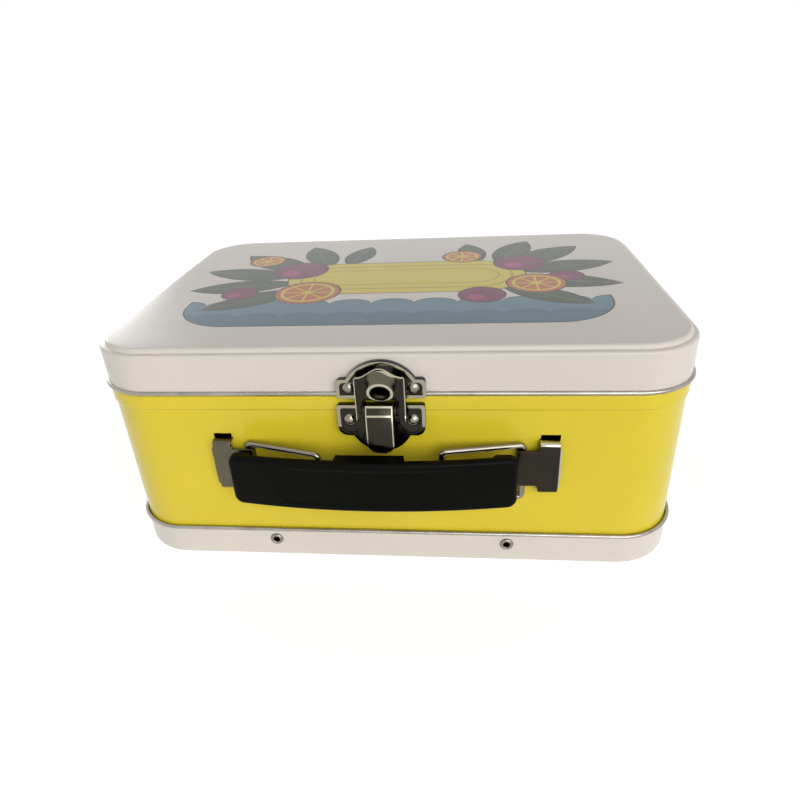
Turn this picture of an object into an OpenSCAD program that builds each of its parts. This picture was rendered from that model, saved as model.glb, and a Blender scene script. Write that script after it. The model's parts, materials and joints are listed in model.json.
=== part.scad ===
// Small metal lunch box lying on its back: lid up (+Z), front with handle and latch at -Y, hinges at +Y.
// The origin is the middle of the flat face that the box rests on. All sizes are in millimetres.

/* [Case] */
// Length of the case over its side walls
case_w = 190; // [170:1:230]
// Depth of the case over its front and rear walls
case_d = 132; // [115:1:170]
// Height of the case from the resting face to the raised panel of the lid
case_h = 80; // [72:1:110]
// Radius of the case's upright corners
corner_r = 19.5; // [14:0.5:28]
// Thickness of the tinplate of the lid, band and tray
sheet = 0.5; // [0.3:0.05:0.6]

/* [Lid] */
// Height of the lid from the middle of its bead to its raised panel
lid_h = 14.4; // [13.6:0.2:20]
// Height of the raised panel over the lid's shoulder
panel_rise = 1.5; // [0.8:0.1:2]
// Width of the shoulder between the skirt and the raised panel
shoulder_w = 1.9; // [1.4:0.1:3]
// Gap between the lid's skirt and the neck of the band
lid_gap = 0.5; // [0.4:0.05:0.6]

/* [Tray] */
// Height of the bottom tray from the resting face to the middle of its bead
tray_h = 12; // [10:0.5:18]
// Diameter of the rolled bead on the lid and on the tray
bead_d = 1.4; // [1.2:0.1:1.6]
// Outer diameter of the tubular rivets in the tray
tray_rivet_d = 4.6; // [3.5:0.1:6]
// Distance of the tubular rivets from the middle of the case
tray_rivet_x = 40; // [25:1:60]

/* [Band] */
// Height of the proud collar under the lid's bead
collar_h = 5.4; // [3:0.2:6]
// Gap between the band's wall and the tray's skirt around it
seam_gap = 0.1; // [0.05:0.05:0.3]
// Height of the neck that stands inside the lid
neck_h = 5; // [3:0.5:5]

/* [Handle] */
// How far the handle and the front tray rivets stand to the left of the middle
front_shift = 1; // [0:0.1:1.5]
// Length of the grip
grip_l = 90; // [84:1:92]
// Height of the grip
grip_h = 18; // [17:0.5:19]
// Depth of the grip at its middle, from its back rim to its face
grip_t = 5.3; // [5:0.1:6.2]
// Depth of the grip at its ends
grip_end_t = 3; // [2.8:0.1:4]
// How far the middle of the grip bows out from its ends
grip_bow = 3.7; // [3.4:0.1:5]
// Wall of the moulded grip
grip_wall = 1.5; // [1.2:0.1:1.7]
// Sideways play that the grip has taken up to the left
grip_shift = 3.1; // [0:0.1:3.4]
// Diameter of the wire of the links
wire_d = 2; // [1.6:0.1:2]
// Distance of the links' pivots from the middle of the case
link_x = 44; // [43:0.5:48]
// Length of a link from its pivot to the middle of its inner wire
link_l = 25.5; // [24.5:0.5:27]
// Turn of the left link out of the wall when the handle lies flat
link_angle = 15; // [14:0.5:16]
// Turn of the right link out of the wall when the handle lies flat
link_angle_right = 10; // [9.5:0.5:16]
// Gap in height between the lever's tip and the top of the grip
handle_gap = 0.7; // [0.6:0.1:3]
// Thickness of the bracket's metal
bracket_t = 0.8; // [0.6:0.1:0.8]
// Width of the keepers inside the grip
keeper_h = 5; // [3:0.5:6]

/* [Latch] */
// Width of the latch plates
plate_w = 27; // [25.5:0.5:32]
// Thickness of the latch's stamped metal
latch_t = 0.8; // [0.6:0.1:0.9]
// Distance from the side of a latch plate to the side of the hasp
hasp_margin = 6; // [5.8:0.1:6.3]
// Width of the lever
lever_w = 8; // [7:0.2:8]
// Radius of the latch's pivot pins
latch_pin_r = 0.8; // [0.6:0.1:0.9]
// Diameter of the rivet heads
rivet_d = 4.1; // [3.4:0.1:4.6]

/* [Hinge] */
// Distance of each rear hinge from the middle of the case
hinge_x = 45; // [30:1:60]
// Width of a rear hinge
hinge_w = 24; // [18:1:30]
// Radius of a rear hinge's pin
hinge_pin_r = 0.8; // [0.6:0.1:0.9]
// Thickness of a hinge leaf
leaf_t = 0.7; // [0.5:0.1:0.7]

/* [Hidden] */
$fn = 96;

// Clearance that keeps parts which move past each other apart.
play = 0.3;
// Radial clearance of a pin in its bore.
pin_fit = 0.05;

// Heights of the case's steps.
lid_z = case_h - lid_h;
shoulder_z = case_h - panel_rise;
bead_r = bead_d / 2;
bead_out = bead_d - sheet;
collar_top = lid_z - bead_r - play;
collar_z = collar_top - collar_h;
neck_top = collar_top + neck_h;
band_foot = 2;

// Distances in from the outside of the case to the outer face of the band's wall and of its neck.
wall_in = sheet + seam_gap;
neck_in = sheet + lid_gap;

// Radii of the pressed edges.
edge_r = 1;
groove_r = 0.3;
panel_r = panel_rise - groove_r;
panel_in = shoulder_w + panel_r + 1;
collar_r = 0.6;
step_h = 0.9;
tray_edge_r = 1.6;
hem_r = 0.6;

// Points of an arc in the plane of a profile.
function arc(x, z, r, from, to, n = 8) =
  [for (i = [0:n]) let (a = from + (to - from) * i / n) [x + r * cos(a), z + r * sin(a)]];

// Points of a soft step from one inset to another.
function soft_step(x0, z0, x1, z1, n = 8) =
  [for (i = [0:n]) let (t = i / n) [x0 + (x1 - x0) * (1 - cos(180 * t)) / 2, z0 + (z1 - z0) * t]];

function reversed(list) = [for (i = [len(list) - 1:-1:0]) list[i]];

// Sweeps a profile around the case. The profile's x is measured outwards from the case's side.
module around_case() {
  for (i = [0:3]) {
    sx = (i == 0 || i == 3) ? 1 : -1;
    sy = i < 2 ? 1 : -1;
    half = i % 2 == 0 ? case_w / 2 : case_d / 2;
    run = (i % 2 == 0 ? case_d : case_w) - 2 * corner_r;
    translate([sx * (case_w / 2 - corner_r), sy * (case_d / 2 - corner_r), 0])
      rotate([0, 0, 90 * i])
        rotate_extrude(angle = 90)
          translate([corner_r, 0])
            children();
    rotate([0, 0, 90 * i])
      translate([half, 0, 0])
        rotate([90, 0, 0])
          linear_extrude(run, center = true)
            children();
  }
}

// The case's plan, drawn in by a given distance.
module case_plan(inset) {
  x = case_w / 2 - corner_r;
  y = case_d / 2 - corner_r;
  square([2 * x, case_d - 2 * inset], center = true);
  square([case_w - 2 * inset, 2 * y], center = true);
  for (sx = [-1, 1], sy = [-1, 1])
    translate([sx * x, sy * y])
      circle(corner_r - inset);
}

// Places children drawn in a front view: x stays, y becomes the height, z stands out of the front wall.
module on_front() {
  translate([0, -case_d / 2, 0])
    rotate([90, 0, 0])
      children();
}

// The same for the rear wall. Seen from behind, x runs the other way.
module on_rear() {
  rotate([0, 0, 180])
    on_front()
      children();
}

// A rectangle with four rounded corners, centred.
module round_rect(w, h, r) {
  square([w - 2 * r, h], center = true);
  square([w, h - 2 * r], center = true);
  for (sx = [-1, 1], sy = [-1, 1])
    translate([sx * (w / 2 - r), sy * (h / 2 - r)])
      circle(r, $fn = 48);
}

// ---- Rivets ----
rivet_r = rivet_d / 2;
rivet_dome = 1.1;
shank_r = 1.1;
shank_fit = 0.03;
tail_r = 1.9;
tail_t = 0.7;
notch_w = 2 * tail_r + 2;

// A domed rivet: its head stands on z = seat, its upset tail ends below z = floor.
module rivet(seat, floor) {
  dome_r = (rivet_r * rivet_r + rivet_dome * rivet_dome) / (2 * rivet_dome);
  half_angle = asin(rivet_r / dome_r);
  rotate_extrude($fn = 48)
    polygon(concat(
      [[0, floor - tail_t], [tail_r, floor - tail_t], [tail_r, floor], [shank_r, floor], [shank_r, seat]],
      arc(0, seat + rivet_dome - dome_r, dome_r, 90 - half_angle, 90, 10)
    ));
}

// The hole that a rivet's shank passes through.
module rivet_hole() {
  translate([0, 0, -10])
    cylinder(r = shank_r + shank_fit, h = 20, $fn = 48);
}

// ---- Case ----
module lid_profile() {
  groove_x = -shoulder_w + groove_r;
  top_x = -shoulder_w - panel_r;
  outer = concat(
    [[0, lid_z]],
    arc(-edge_r, shoulder_z - edge_r, edge_r, 0, 90),
    arc(groove_x, shoulder_z + groove_r, groove_r, 270, 180, 5),
    arc(top_x, case_h - panel_r, panel_r, 0, 90),
    [[-panel_in, case_h]]
  );
  inner = concat(
    [[-panel_in, case_h - sheet]],
    arc(top_x, case_h - panel_r, panel_r - sheet, 90, 0),
    arc(groove_x, shoulder_z + groove_r, groove_r + sheet, 180, 270, 5),
    arc(-edge_r, shoulder_z - edge_r, edge_r - sheet, 90, 0),
    [[-sheet, lid_z]]
  );
  polygon(concat(outer, inner));
}

module lid_shell() {
  color([0.93, 0.91, 0.88])
    difference() {
      union() {
        around_case()
          lid_profile();
        translate([0, 0, case_h - sheet])
          linear_extrude(sheet)
            case_plan(panel_in);
      }
      at_strike_rivets()
        rivet_hole();
      at_hinge_rivets(lid_rivet_z)
        rivet_hole();
    }
}

// The rolled edge hugs the outside of the skirt: up is 1 where the skirt stands on it, -1 where it hangs.
module rim_bead(z, up) {
  around_case()
    difference() {
      translate([bead_r - sheet, z])
        circle(bead_r, $fn = 32);
      translate([-sheet, up > 0 ? z : z - bead_d])
        square([sheet, bead_d]);
    }
}

module lid_rim_bead() {
  color([0.62, 0.6, 0.55])
    rim_bead(lid_z, 1);
}

module tray_rim_bead() {
  color([0.62, 0.6, 0.55])
    rim_bead(tray_h, -1);
}

module wall_profile() {
  outer = concat(
    [[-wall_in, band_foot]],
    soft_step(-wall_in, collar_z, 0, collar_z + step_h),
    arc(-collar_r, collar_top - collar_r, collar_r, 0, 90, 6),
    [[-neck_in, collar_top], [-neck_in, neck_top]]
  );
  inner = concat(
    [[-neck_in - sheet, neck_top], [-neck_in - sheet, collar_top - sheet]],
    [[-sheet, collar_top - sheet - collar_r]],
    reversed(soft_step(-wall_in - sheet, collar_z, -sheet, collar_z + step_h)),
    [[-wall_in - sheet, band_foot]]
  );
  polygon(concat(outer, inner));
  translate([-neck_in - hem_r, neck_top])
    circle(hem_r, $fn = 32);
}

module wall_band() {
  color([0.95, 0.87, 0.33])
    difference() {
      around_case()
        wall_profile();
      for (side = [-1, 1])
        bracket_slots(side);
      at_base_rivets()
        rivet_hole();
      at_hinge_rivets(body_rivet_z)
        rivet_hole();
      at_tray_rivets()
        eyelet_hole();
      // Notches in the neck give the tails of the strike plate's rivets room.
      at_strike_rivets()
        translate([-notch_w / 2, -tail_r - play, -wall_in - 5])
          cube([notch_w, neck_h + 5, 5]);
    }
}

module tray_profile() {
  polygon(concat(
    arc(-tray_edge_r, tray_edge_r, tray_edge_r, 270, 360),
    [[0, tray_h], [-sheet, tray_h]],
    arc(-tray_edge_r, tray_edge_r, tray_edge_r - sheet, 360, 270)
  ));
}

module bottom_tray() {
  color([0.93, 0.91, 0.88])
    difference() {
      union() {
        around_case()
          tray_profile();
        linear_extrude(sheet)
          case_plan(tray_edge_r);
      }
      at_tray_rivets()
        eyelet_hole();
    }
}

// ---- Tubular rivets of the tray ----
tray_rivet_z = 7.6;
eyelet_head_t = 0.7;
eyelet_shank_r = 1.5;
eyelet_bore_r = 1.1;

module at_tray_rivets() {
  for (side = [-1, 1]) {
    on_front()
      translate([side * tray_rivet_x - front_shift, tray_rivet_z, 0])
        children();
    on_rear()
      translate([side * tray_rivet_x, tray_rivet_z, 0])
        children();
  }
}

module eyelet_hole() {
  translate([0, 0, -5])
    cylinder(r = eyelet_shank_r + shank_fit, h = 10, $fn = 48);
}

module tray_rivets() {
  flange_r = tray_rivet_d / 2;
  back = -wall_in - sheet;
  color([0.7, 0.68, 0.62])
    at_tray_rivets()
      rotate_extrude($fn = 48)
        polygon(concat(
          [[eyelet_bore_r, back - eyelet_head_t], [flange_r, back - eyelet_head_t], [flange_r, back]],
          [[eyelet_shank_r, back], [eyelet_shank_r, 0]],
          arc(flange_r - eyelet_head_t, 0, eyelet_head_t, 0, 90, 6),
          [[eyelet_bore_r + 0.3, eyelet_head_t], [eyelet_bore_r, eyelet_head_t - 0.3]]
        ));
}

// ---- Latch ----
// Heights of the plates' faces over the skirt, and of their raised edges over the faces.
plate_seat = 0.1;
plate_face = bead_out + latch_t + plate_seat;
plate_ridge = 0.4;
ridge_w = 1;
rivet_margin = 3.7;
latch_rivet_x = plate_w / 2 - rivet_margin;

// The strike plate: how far it hangs below the bead's middle, and its height to shoulder and rivets.
strike_drop = 0.6;
strike_shoulder_h = 5.6;
strike_rivet_h = 2.7;
strike_arch_margin = 3.1;
strike_bottom = lid_z - strike_drop;
strike_shoulder = lid_z + strike_shoulder_h;
strike_top = shoulder_z - 1.5;
strike_arch_x = plate_w / 2 - strike_arch_margin;
strike_rivet_z = lid_z + strike_rivet_h;

// The base plate: its drop below the bead's middle, and its depth to shoulder, arch and rivets.
base_drop = 3;
base_shoulder_depth = 10.6;
base_arch_depth = 16.2;
base_rivet_depth = 5.3;
base_arch_margin = 4.8;
// The base plate stands this much to the left.
base_shift = 0.45;
base_top = lid_z - base_drop;
base_shoulder = base_top - base_shoulder_depth;
base_bottom = base_top - base_arch_depth;
base_arch_x = plate_w / 2 - base_arch_margin;
base_rivet_z = base_top - base_rivet_depth;

// Hasp pin and lever pin: heights over the resting face and stand-off from the front.
pin_drop = 6;
pin_stand = 2;
lever_pin_up = 4;
lever_pin_out = 3.1;
hasp_seat = 0.4;
hasp_w = plate_w - 2 * hasp_margin;
hasp_pin_z = lid_z - pin_drop;
hasp_pin_h = plate_face + pin_stand;
lever_pin_z = hasp_pin_z + lever_pin_up;
lever_pin_h = hasp_pin_h + lever_pin_out;
hasp_back = hasp_pin_h + hasp_seat;
hasp_flange_back = plate_face + plate_ridge + play;
ear_t = 0.7;
base_ear_x = lever_w / 2 + play;
hasp_window_x = base_ear_x + ear_t + play;
latch_brass = [0.5, 0.48, 0.42];

module at_strike_rivets() {
  on_front()
    for (side = [-1, 1])
      translate([side * latch_rivet_x, strike_rivet_z, 0])
        children();
}

module at_base_rivets() {
  on_front()
    for (side = [-1, 1])
      translate([side * latch_rivet_x - base_shift, base_rivet_z, 0])
        children();
}

// A circle that passes through (0, top) and (+-half, side), drawn smaller by a given inset.
module arch_disc(half, side, top, inset) {
  rise = top - side;
  r = (half * half + rise * rise) / (2 * abs(rise));
  translate([0, rise > 0 ? top - r : top + r])
    circle(r - inset);
}

module strike_outline(inset) {
  h = strike_shoulder - strike_bottom;
  translate([0, strike_bottom + h / 2])
    round_rect(plate_w - 2 * inset, h - 2 * inset, 1.4);
  translate([-plate_w / 2 + inset, strike_bottom + inset])
    square([plate_w - 2 * inset, h / 2]);
  intersection() {
    arch_disc(strike_arch_x, strike_shoulder, strike_top, inset);
    translate([-plate_w / 2, strike_bottom + inset])
      square([plate_w, 2 * h]);
  }
}

module base_outline(inset) {
  h = base_top - base_shoulder;
  translate([0, base_shoulder + h / 2])
    round_rect(plate_w - 2 * inset, h - 2 * inset, 3);
  translate([0, base_top - inset - h / 4])
    round_rect(plate_w - 2 * inset, h / 2, 0.9);
  intersection() {
    arch_disc(base_arch_x, base_shoulder, base_bottom, inset);
    translate([-plate_w / 2, base_bottom])
      square([plate_w, h]);
  }
}

// A stamped pan: a face with a raised ridge and sides that turn down to the wall at z = seat.
module stamped_pan(seat) {
  translate([0, 0, plate_face - latch_t])
    linear_extrude(latch_t)
      children(0);
  translate([0, 0, seat])
    linear_extrude(plate_face + plate_ridge - seat)
      difference() {
        children(0);
        children(1);
      }
}

module strike_plate() {
  color(latch_brass)
    on_front()
      difference() {
        stamped_pan(0) {
          strike_outline(0);
          strike_outline(ridge_w);
        }
        // Clears the lid's bead.
        translate([-plate_w, strike_bottom - 1, -1])
          cube([2 * plate_w, lid_z + bead_r + 0.1 - strike_bottom + 1, bead_out + 1.05]);
        for (side = [-1, 1])
          translate([side * latch_rivet_x, strike_rivet_z, 0])
            rivet_hole();
      }
}

module strike_rivets() {
  color([0.72, 0.7, 0.62])
    at_strike_rivets()
      rivet(plate_face, -sheet);
}

module latch_base_plate() {
  color(latch_brass)
    on_front()
      difference() {
        union() {
          translate([-base_shift, 0, 0])
            stamped_pan(-wall_in) {
              base_outline(0);
              base_outline(ridge_w);
            }
          for (side = [-1, 1])
            translate([side > 0 ? base_ear_x : -base_ear_x - ear_t, 0, 0])
              pin_ear(hasp_pin_z, hasp_pin_h, plate_face - latch_t, ear_t);
        }
        // Clears the band's collar.
        translate([-plate_w, collar_z - 0.1, -2])
          cube([2 * plate_w, base_top, 2.02]);
        for (side = [-1, 1])
          translate([side * latch_rivet_x - base_shift, base_rivet_z, 0])
            rivet_hole();
        cross_bore(hasp_pin_z, hasp_pin_h, latch_pin_r + pin_hold);
      }
}

// Radial clearance of a pin in the ears that hold it fast.
pin_hold = 0.01;
ear_r = 1.6;

// An ear in the plane across x, round about a pin and rooted at z = root.
module pin_ear(pin_z, pin_h, root, t) {
  translate([0, pin_z, pin_h])
    rotate([0, 90, 0])
      cylinder(r = ear_r, h = t, $fn = 48);
  translate([0, pin_z - ear_r, root])
    cube([t, 2 * ear_r, pin_h - root]);
}

module cross_bore(pin_z, pin_h, r) {
  translate([-plate_w, pin_z, pin_h])
    rotate([0, 90, 0])
      cylinder(r = r, h = 2 * plate_w, $fn = 48);
}

module latch_base_rivets() {
  color([0.72, 0.7, 0.62])
    at_base_rivets()
      rivet(plate_face, -wall_in - sheet);
}

// A pin across x with a small head at each end.
module cross_pin(pin_z, pin_h, half) {
  head = 0.5;
  translate([-half, pin_z, pin_h])
    rotate([0, 90, 0]) {
      cylinder(r = latch_pin_r, h = 2 * half, $fn = 48);
      translate([0, 0, -head])
        cylinder(r = latch_pin_r + 0.4, h = head, $fn = 48);
      translate([0, 0, 2 * half])
        cylinder(r = latch_pin_r + 0.4, h = head, $fn = 48);
    }
}

module hasp_pin() {
  color([0.7, 0.68, 0.62])
    on_front()
      cross_pin(hasp_pin_z, hasp_pin_h, hasp_w / 2 + 0.1);
}

hasp_shoulder_up = 7.6;
hasp_top_up = 10.4;
window_up = 2.3;
nose_up = 5.4;
arm_foot = 1;
hasp_corner_r = 0.8;
hasp_bell_x = hasp_w / 2 - hasp_corner_r;
hasp_shoulder = lid_z + hasp_shoulder_up;
hasp_top = lid_z + hasp_top_up;
hasp_window_top = lever_pin_z + window_up;
hasp_arm_foot = hasp_pin_z - arm_foot;
nose_z = hasp_window_top + nose_up;
nose_x = 0.6;
nose_tilt = 20;
nose_base_r = 4.9;
nose_r = 3.9;
nose_bore_r = 3.05;
nose_l = 4.4;
cone_l = 2.4;

// Height of the hasp's bell-shaped top edge at x.
function bell(x) = hasp_top - (hasp_top - hasp_shoulder) * (1 - cos(180 * x / hasp_bell_x)) / 2;

module hasp_outline() {
  corner_z = hasp_shoulder - hasp_corner_r;
  difference() {
    polygon(concat(
      [[-hasp_w / 2, hasp_arm_foot], [hasp_w / 2, hasp_arm_foot]],
      arc(hasp_bell_x, corner_z, hasp_corner_r, 0, 90, 6),
      [for (i = [11:-1:-11]) [i / 12 * hasp_bell_x, bell(i / 12 * hasp_bell_x)]],
      arc(-hasp_bell_x, corner_z, hasp_corner_r, 90, 180, 6)
    ));
    translate([-base_ear_x, hasp_arm_foot - 1])
      square([2 * base_ear_x, hasp_window_top - hasp_arm_foot + 1]);
    // Wider below, where the base plate's ears stand.
    translate([-hasp_window_x, hasp_arm_foot - 1])
      square([2 * hasp_window_x, hasp_pin_z + ear_r + 0.4 - hasp_arm_foot + 1]);
  }
}

module hasp_nose(extra, r1, r2, length) {
  translate([nose_x, nose_z, hasp_back])
    rotate([nose_tilt, 0, 0]) {
      translate([0, 0, -extra])
        cylinder(r = r2, h = length + 2 * extra, $fn = 64);
      cylinder(r1 = r1, r2 = r2, h = cone_l, $fn = 64);
    }
}

module hasp() {
  flange_x = hasp_w / 2 - latch_t;
  color(latch_brass)
    on_front()
      difference() {
        union() {
          translate([0, 0, hasp_back])
            linear_extrude(latch_t)
              hasp_outline();
          difference() {
            hasp_nose(0, nose_base_r, nose_r, nose_l);
            translate([-hasp_w, nose_z - hasp_w, hasp_back - 4])
              cube([2 * hasp_w, 2 * hasp_w, 4]);
          }
          for (side = [-1, 1]) {
            translate([side > 0 ? flange_x : -flange_x - latch_t, 0, 0]) {
              translate([0, hasp_pin_z, hasp_flange_back])
                cube([latch_t, hasp_shoulder - hasp_corner_r - hasp_pin_z, hasp_back - hasp_flange_back + 0.1]);
              translate([0, hasp_pin_z, hasp_pin_h])
                rotate([0, 90, 0])
                  cylinder(r = ear_r, h = latch_t, $fn = 48);
            }
            translate([side > 0 ? base_ear_x : -base_ear_x - ear_t, 0, 0])
              pin_ear(lever_pin_z, lever_pin_h, hasp_back, ear_t);
          }
        }
        hasp_nose(2, nose_bore_r, nose_bore_r, nose_l);
        cross_bore(hasp_pin_z, hasp_pin_h, latch_pin_r + pin_fit);
        cross_bore(lever_pin_z, lever_pin_h, latch_pin_r + pin_hold);
      }
}

module lever_pin() {
  color([0.7, 0.68, 0.62])
    on_front()
      cross_pin(lever_pin_z, lever_pin_h, base_ear_x + ear_t + 0.1);
}

// Corners of the lever's front seen from the side, as stand-off and height.
lever_out = 2.6;
lever_face = lever_pin_h + lever_out;
lever_head = [lever_pin_h + 1.4, lever_pin_z + 2.1];
lever_bend = [lever_face, lever_pin_z - 0.65];
lever_knee = [lever_face, lever_pin_z - 10.6];
lever_tip = [lever_pin_h + 0.9, lever_pin_z - 14.7];

// Extrudes a side view, x as stand-off and y as height, across x.
module across(from, width) {
  translate([from, 0, 0])
    rotate([0, -90, 0])
      mirror([0, 0, 1])
        linear_extrude(width)
          children();
}

module latch_lever() {
  t = latch_t;
  half = lever_w / 2;
  color([0.42, 0.4, 0.35])
    on_front()
      difference() {
        union() {
          intersection() {
            across(-half, lever_w)
              polygon([
                lever_head, lever_bend, lever_knee, lever_tip,
                lever_tip + [-t, 0.2], lever_knee + [-t, 0.2], lever_bend + [-t, -0.3], lever_head + [-t, -0.3]
              ]);
            // Rounds the lever's free end in the front view.
            union() {
              translate([-half, lever_tip[1] + half, 0])
                cube([lever_w, 30, 20]);
              translate([0, lever_tip[1] + half, 0])
                cylinder(r = half, h = 20, $fn = 64);
            }
          }
          for (x = [-half, half - t])
            across(x, t)
              polygon([
                lever_head + [-t, -0.3], lever_bend + [-t, 0], lever_knee + [-t, 0.6],
                lever_knee + [-t - 1.2, 1.6], [lever_pin_h - ear_r, lever_pin_z - 1],
                [lever_pin_h - ear_r, lever_pin_z]
              ]);
          for (x = [-half, half - t])
            translate([x, lever_pin_z, lever_pin_h])
              rotate([0, 90, 0])
                cylinder(r = ear_r, h = t, $fn = 48);
        }
        cross_bore(lever_pin_z, lever_pin_h, latch_pin_r + pin_fit);
      }
}

// ---- Handle ----
wire_r = wire_d / 2;
bracket_rise = 1;
grip_z = lever_tip[1] - handle_gap - grip_h / 2;
bracket_z = grip_z + bracket_rise;
pivot_h = wire_r + play - wall_in;
bracket_back = pivot_h + wire_r + 0.2;
bracket_face = bracket_back + bracket_t;
bracket_neck_l = 4.2;
bracket_head_w = 7.2;
bracket_head_h = 18.6;
bracket_neck_h = 12.8;
bracket_lip_h = bracket_neck_h - 1.2;
bracket_head_in = link_x + bracket_neck_l;
bracket_head_out = bracket_head_in + bracket_head_w;
bracket_lip = link_x - wire_r - play - bracket_t;
bracket_bend = bracket_t + 0.6;
bracket_corner_r = 1.8;
tab_side = 0.6;
tab_in = bracket_head_in + tab_side;
tab_w = bracket_head_w - 2 * tab_side;
tab_depth = 1.5;
tab_hook = 2.4;
slot_play = 0.15;
slot_h = 2.2;

// Turns children round for the left side: x runs outwards.
module outwards(side) {
  if (side > 0)
    children();
  else
    mirror([1, 0, 0])
      children();
}

// Places children at one bracket: x runs from the middle of the handle outwards.
module at_side(side) {
  translate([-front_shift, 0, 0])
    outwards(side)
      children();
}

// The two slots of one bracket. Each is open beyond the tab that goes through it.
module bracket_slots(side) {
  on_front()
    at_side(side)
      for (up = [-1, 1]) {
        edge = bracket_z + up * bracket_head_h / 2;
        low = up > 0 ? edge - bracket_t - slot_play : edge + bracket_t + slot_play - slot_h;
        translate([tab_in - slot_play, low, -5])
          cube([tab_w + 2 * slot_play, slot_h, 8]);
      }
}

// Side view of the T's head: it bends back at the top and the bottom and passes through the wall.
module bracket_side_view() {
  inside = -wall_in - sheet;
  half = bracket_head_h / 2;
  bend_h = bracket_face - bracket_bend;
  difference() {
    union() {
      translate([inside - tab_depth, -half])
        square([bend_h - inside + tab_depth, bracket_head_h]);
      translate([bend_h, -half + bracket_bend])
        square([bracket_bend, bracket_head_h - 2 * bracket_bend]);
      for (up = [-1, 1])
        translate([bend_h, up * (half - bracket_bend)])
          circle(bracket_bend, $fn = 48);
    }
    translate([inside - tab_depth - 1, -half + bracket_t])
      square([bend_h - inside + tab_depth + 1, bracket_head_h - 2 * bracket_t]);
    translate([bend_h - 0.1, -half + bracket_bend])
      square([bracket_bend - bracket_t + 0.1, bracket_head_h - 2 * bracket_bend]);
    for (up = [-1, 1])
      translate([bend_h, up * (half - bracket_bend)])
        circle(bracket_bend - bracket_t, $fn = 48);
  }
  for (up = [-1, 1])
    translate([inside - tab_depth - bracket_t / 2, up * (half - tab_hook / 2)])
      square([bracket_t, tab_hook], center = true);
}

module handle_bracket(side) {
  color([0.45, 0.43, 0.38])
    on_front()
      at_side(side)
        translate([0, bracket_z, 0]) {
          intersection() {
            across(tab_in, tab_w)
              bracket_side_view();
            cube([4 * link_x, bracket_head_h, 40], center = true);
          }
          // The head is wider than its tabs, with round outer corners.
          translate([bracket_head_in + bracket_head_w / 2, 0, bracket_back])
            linear_extrude(bracket_t)
              round_rect(bracket_head_w, bracket_head_h - 2 * bracket_bend, bracket_corner_r);
          // Neck over the link's wire, and the lip that keeps the wire from sliding inwards.
          translate([bracket_lip, -bracket_neck_h / 2, bracket_back])
            cube([tab_in - bracket_lip + 1, bracket_neck_h, bracket_t]);
          translate([bracket_lip, -bracket_lip_h / 2, -wall_in + 0.05])
            cube([bracket_t, bracket_lip_h, bracket_face + wall_in - 0.05]);
        }
}

module handle_bracket_left() { handle_bracket(-1); }
module handle_bracket_right() { handle_bracket(1); }

// A link's loop hangs with its upper wire just over the bracket's neck.
loop_half = 9.7;
link_z = bracket_z + bracket_neck_h / 2 + wire_r + play - loop_half;
bend_r = 1.5;
// A bend is this much thicker than the straight wire, which runs into it by the lap.
bend_swell = 0.04;
bend_lap = 0.2;

function unit(v) = v / norm(v);
function heading(v) = atan2(v[1], v[0]);

// A closed wire through the corners of a convex outline, given anticlockwise, with round bends.
module wire_loop(points, bend) {
  n = len(points);
  turns = [for (i = [0:n - 1])
    let (u = unit(points[i] - points[(i + n - 1) % n]), v = unit(points[(i + 1) % n] - points[i]))
    acos(u * v)];
  cuts = [for (a = turns) bend * tan(a / 2)];
  for (i = [0:n - 1]) {
    next = (i + 1) % n;
    run = points[next] - points[i];
    start = points[i] + unit(run) * cuts[i];
    translate([start[0], start[1], 0])
      rotate([0, 0, heading(run)]) {
        translate([-bend_lap, 0, 0])
          rotate([0, 90, 0])
            cylinder(r = wire_r, h = norm(run) - cuts[i] - cuts[next] + 2 * bend_lap, $fn = 32);
        translate([0, bend, 0])
          rotate([0, 0, -90 - turns[i]])
            rotate_extrude(angle = turns[i])
              translate([bend, 0])
                circle(wire_r + bend_swell, $fn = 32);
      }
  }
}

function link_turn(side) = side > 0 ? link_angle_right : link_angle;

module handle_link(side) {
  outline = [[0, loop_half], [0, -loop_half], [link_l, -loop_half], [link_l, loop_half]];
  color([0.7, 0.68, 0.6])
    on_front()
      at_side(side)
        translate([link_x, link_z, pivot_h])
          rotate([0, 180 + link_turn(side), 0])
            wire_loop(outline, bend_r);
}

module handle_link_left() { handle_link(-1); }
module handle_link_right() { handle_link(1); }

// The grip is a channel whose face and back rim are two arcs in the plan.
grip_gap = 3.7;
grip_back_end = bracket_face + grip_gap;
half_l = grip_l / 2;
face_mid = grip_back_end + grip_end_t + grip_bow;
back_mid = face_mid - grip_t;
rim_t = 2.2;
relief_from = 10.5;
relief_margin = 6.5;
relief_to = half_l - relief_margin;
grip_corner_r = 3;

function bow_r(bow) = (half_l * half_l + bow * bow) / (2 * bow);
face_r = bow_r(grip_bow);
back_r = bow_r(back_mid - grip_back_end);

module grip_place() {
  on_front()
    translate([-front_shift - grip_shift, grip_z, 0])
      children();
}

// A plan view drawn with x along the grip and y as the stand-off, extruded over a height.
module grip_plan(h) {
  rotate([90, 0, 0])
    linear_extrude(h, center = true)
      children();
}

module grip_disc(depth) {
  translate([0, face_mid - face_r])
    circle(face_r - depth, $fn = 360);
}

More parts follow.
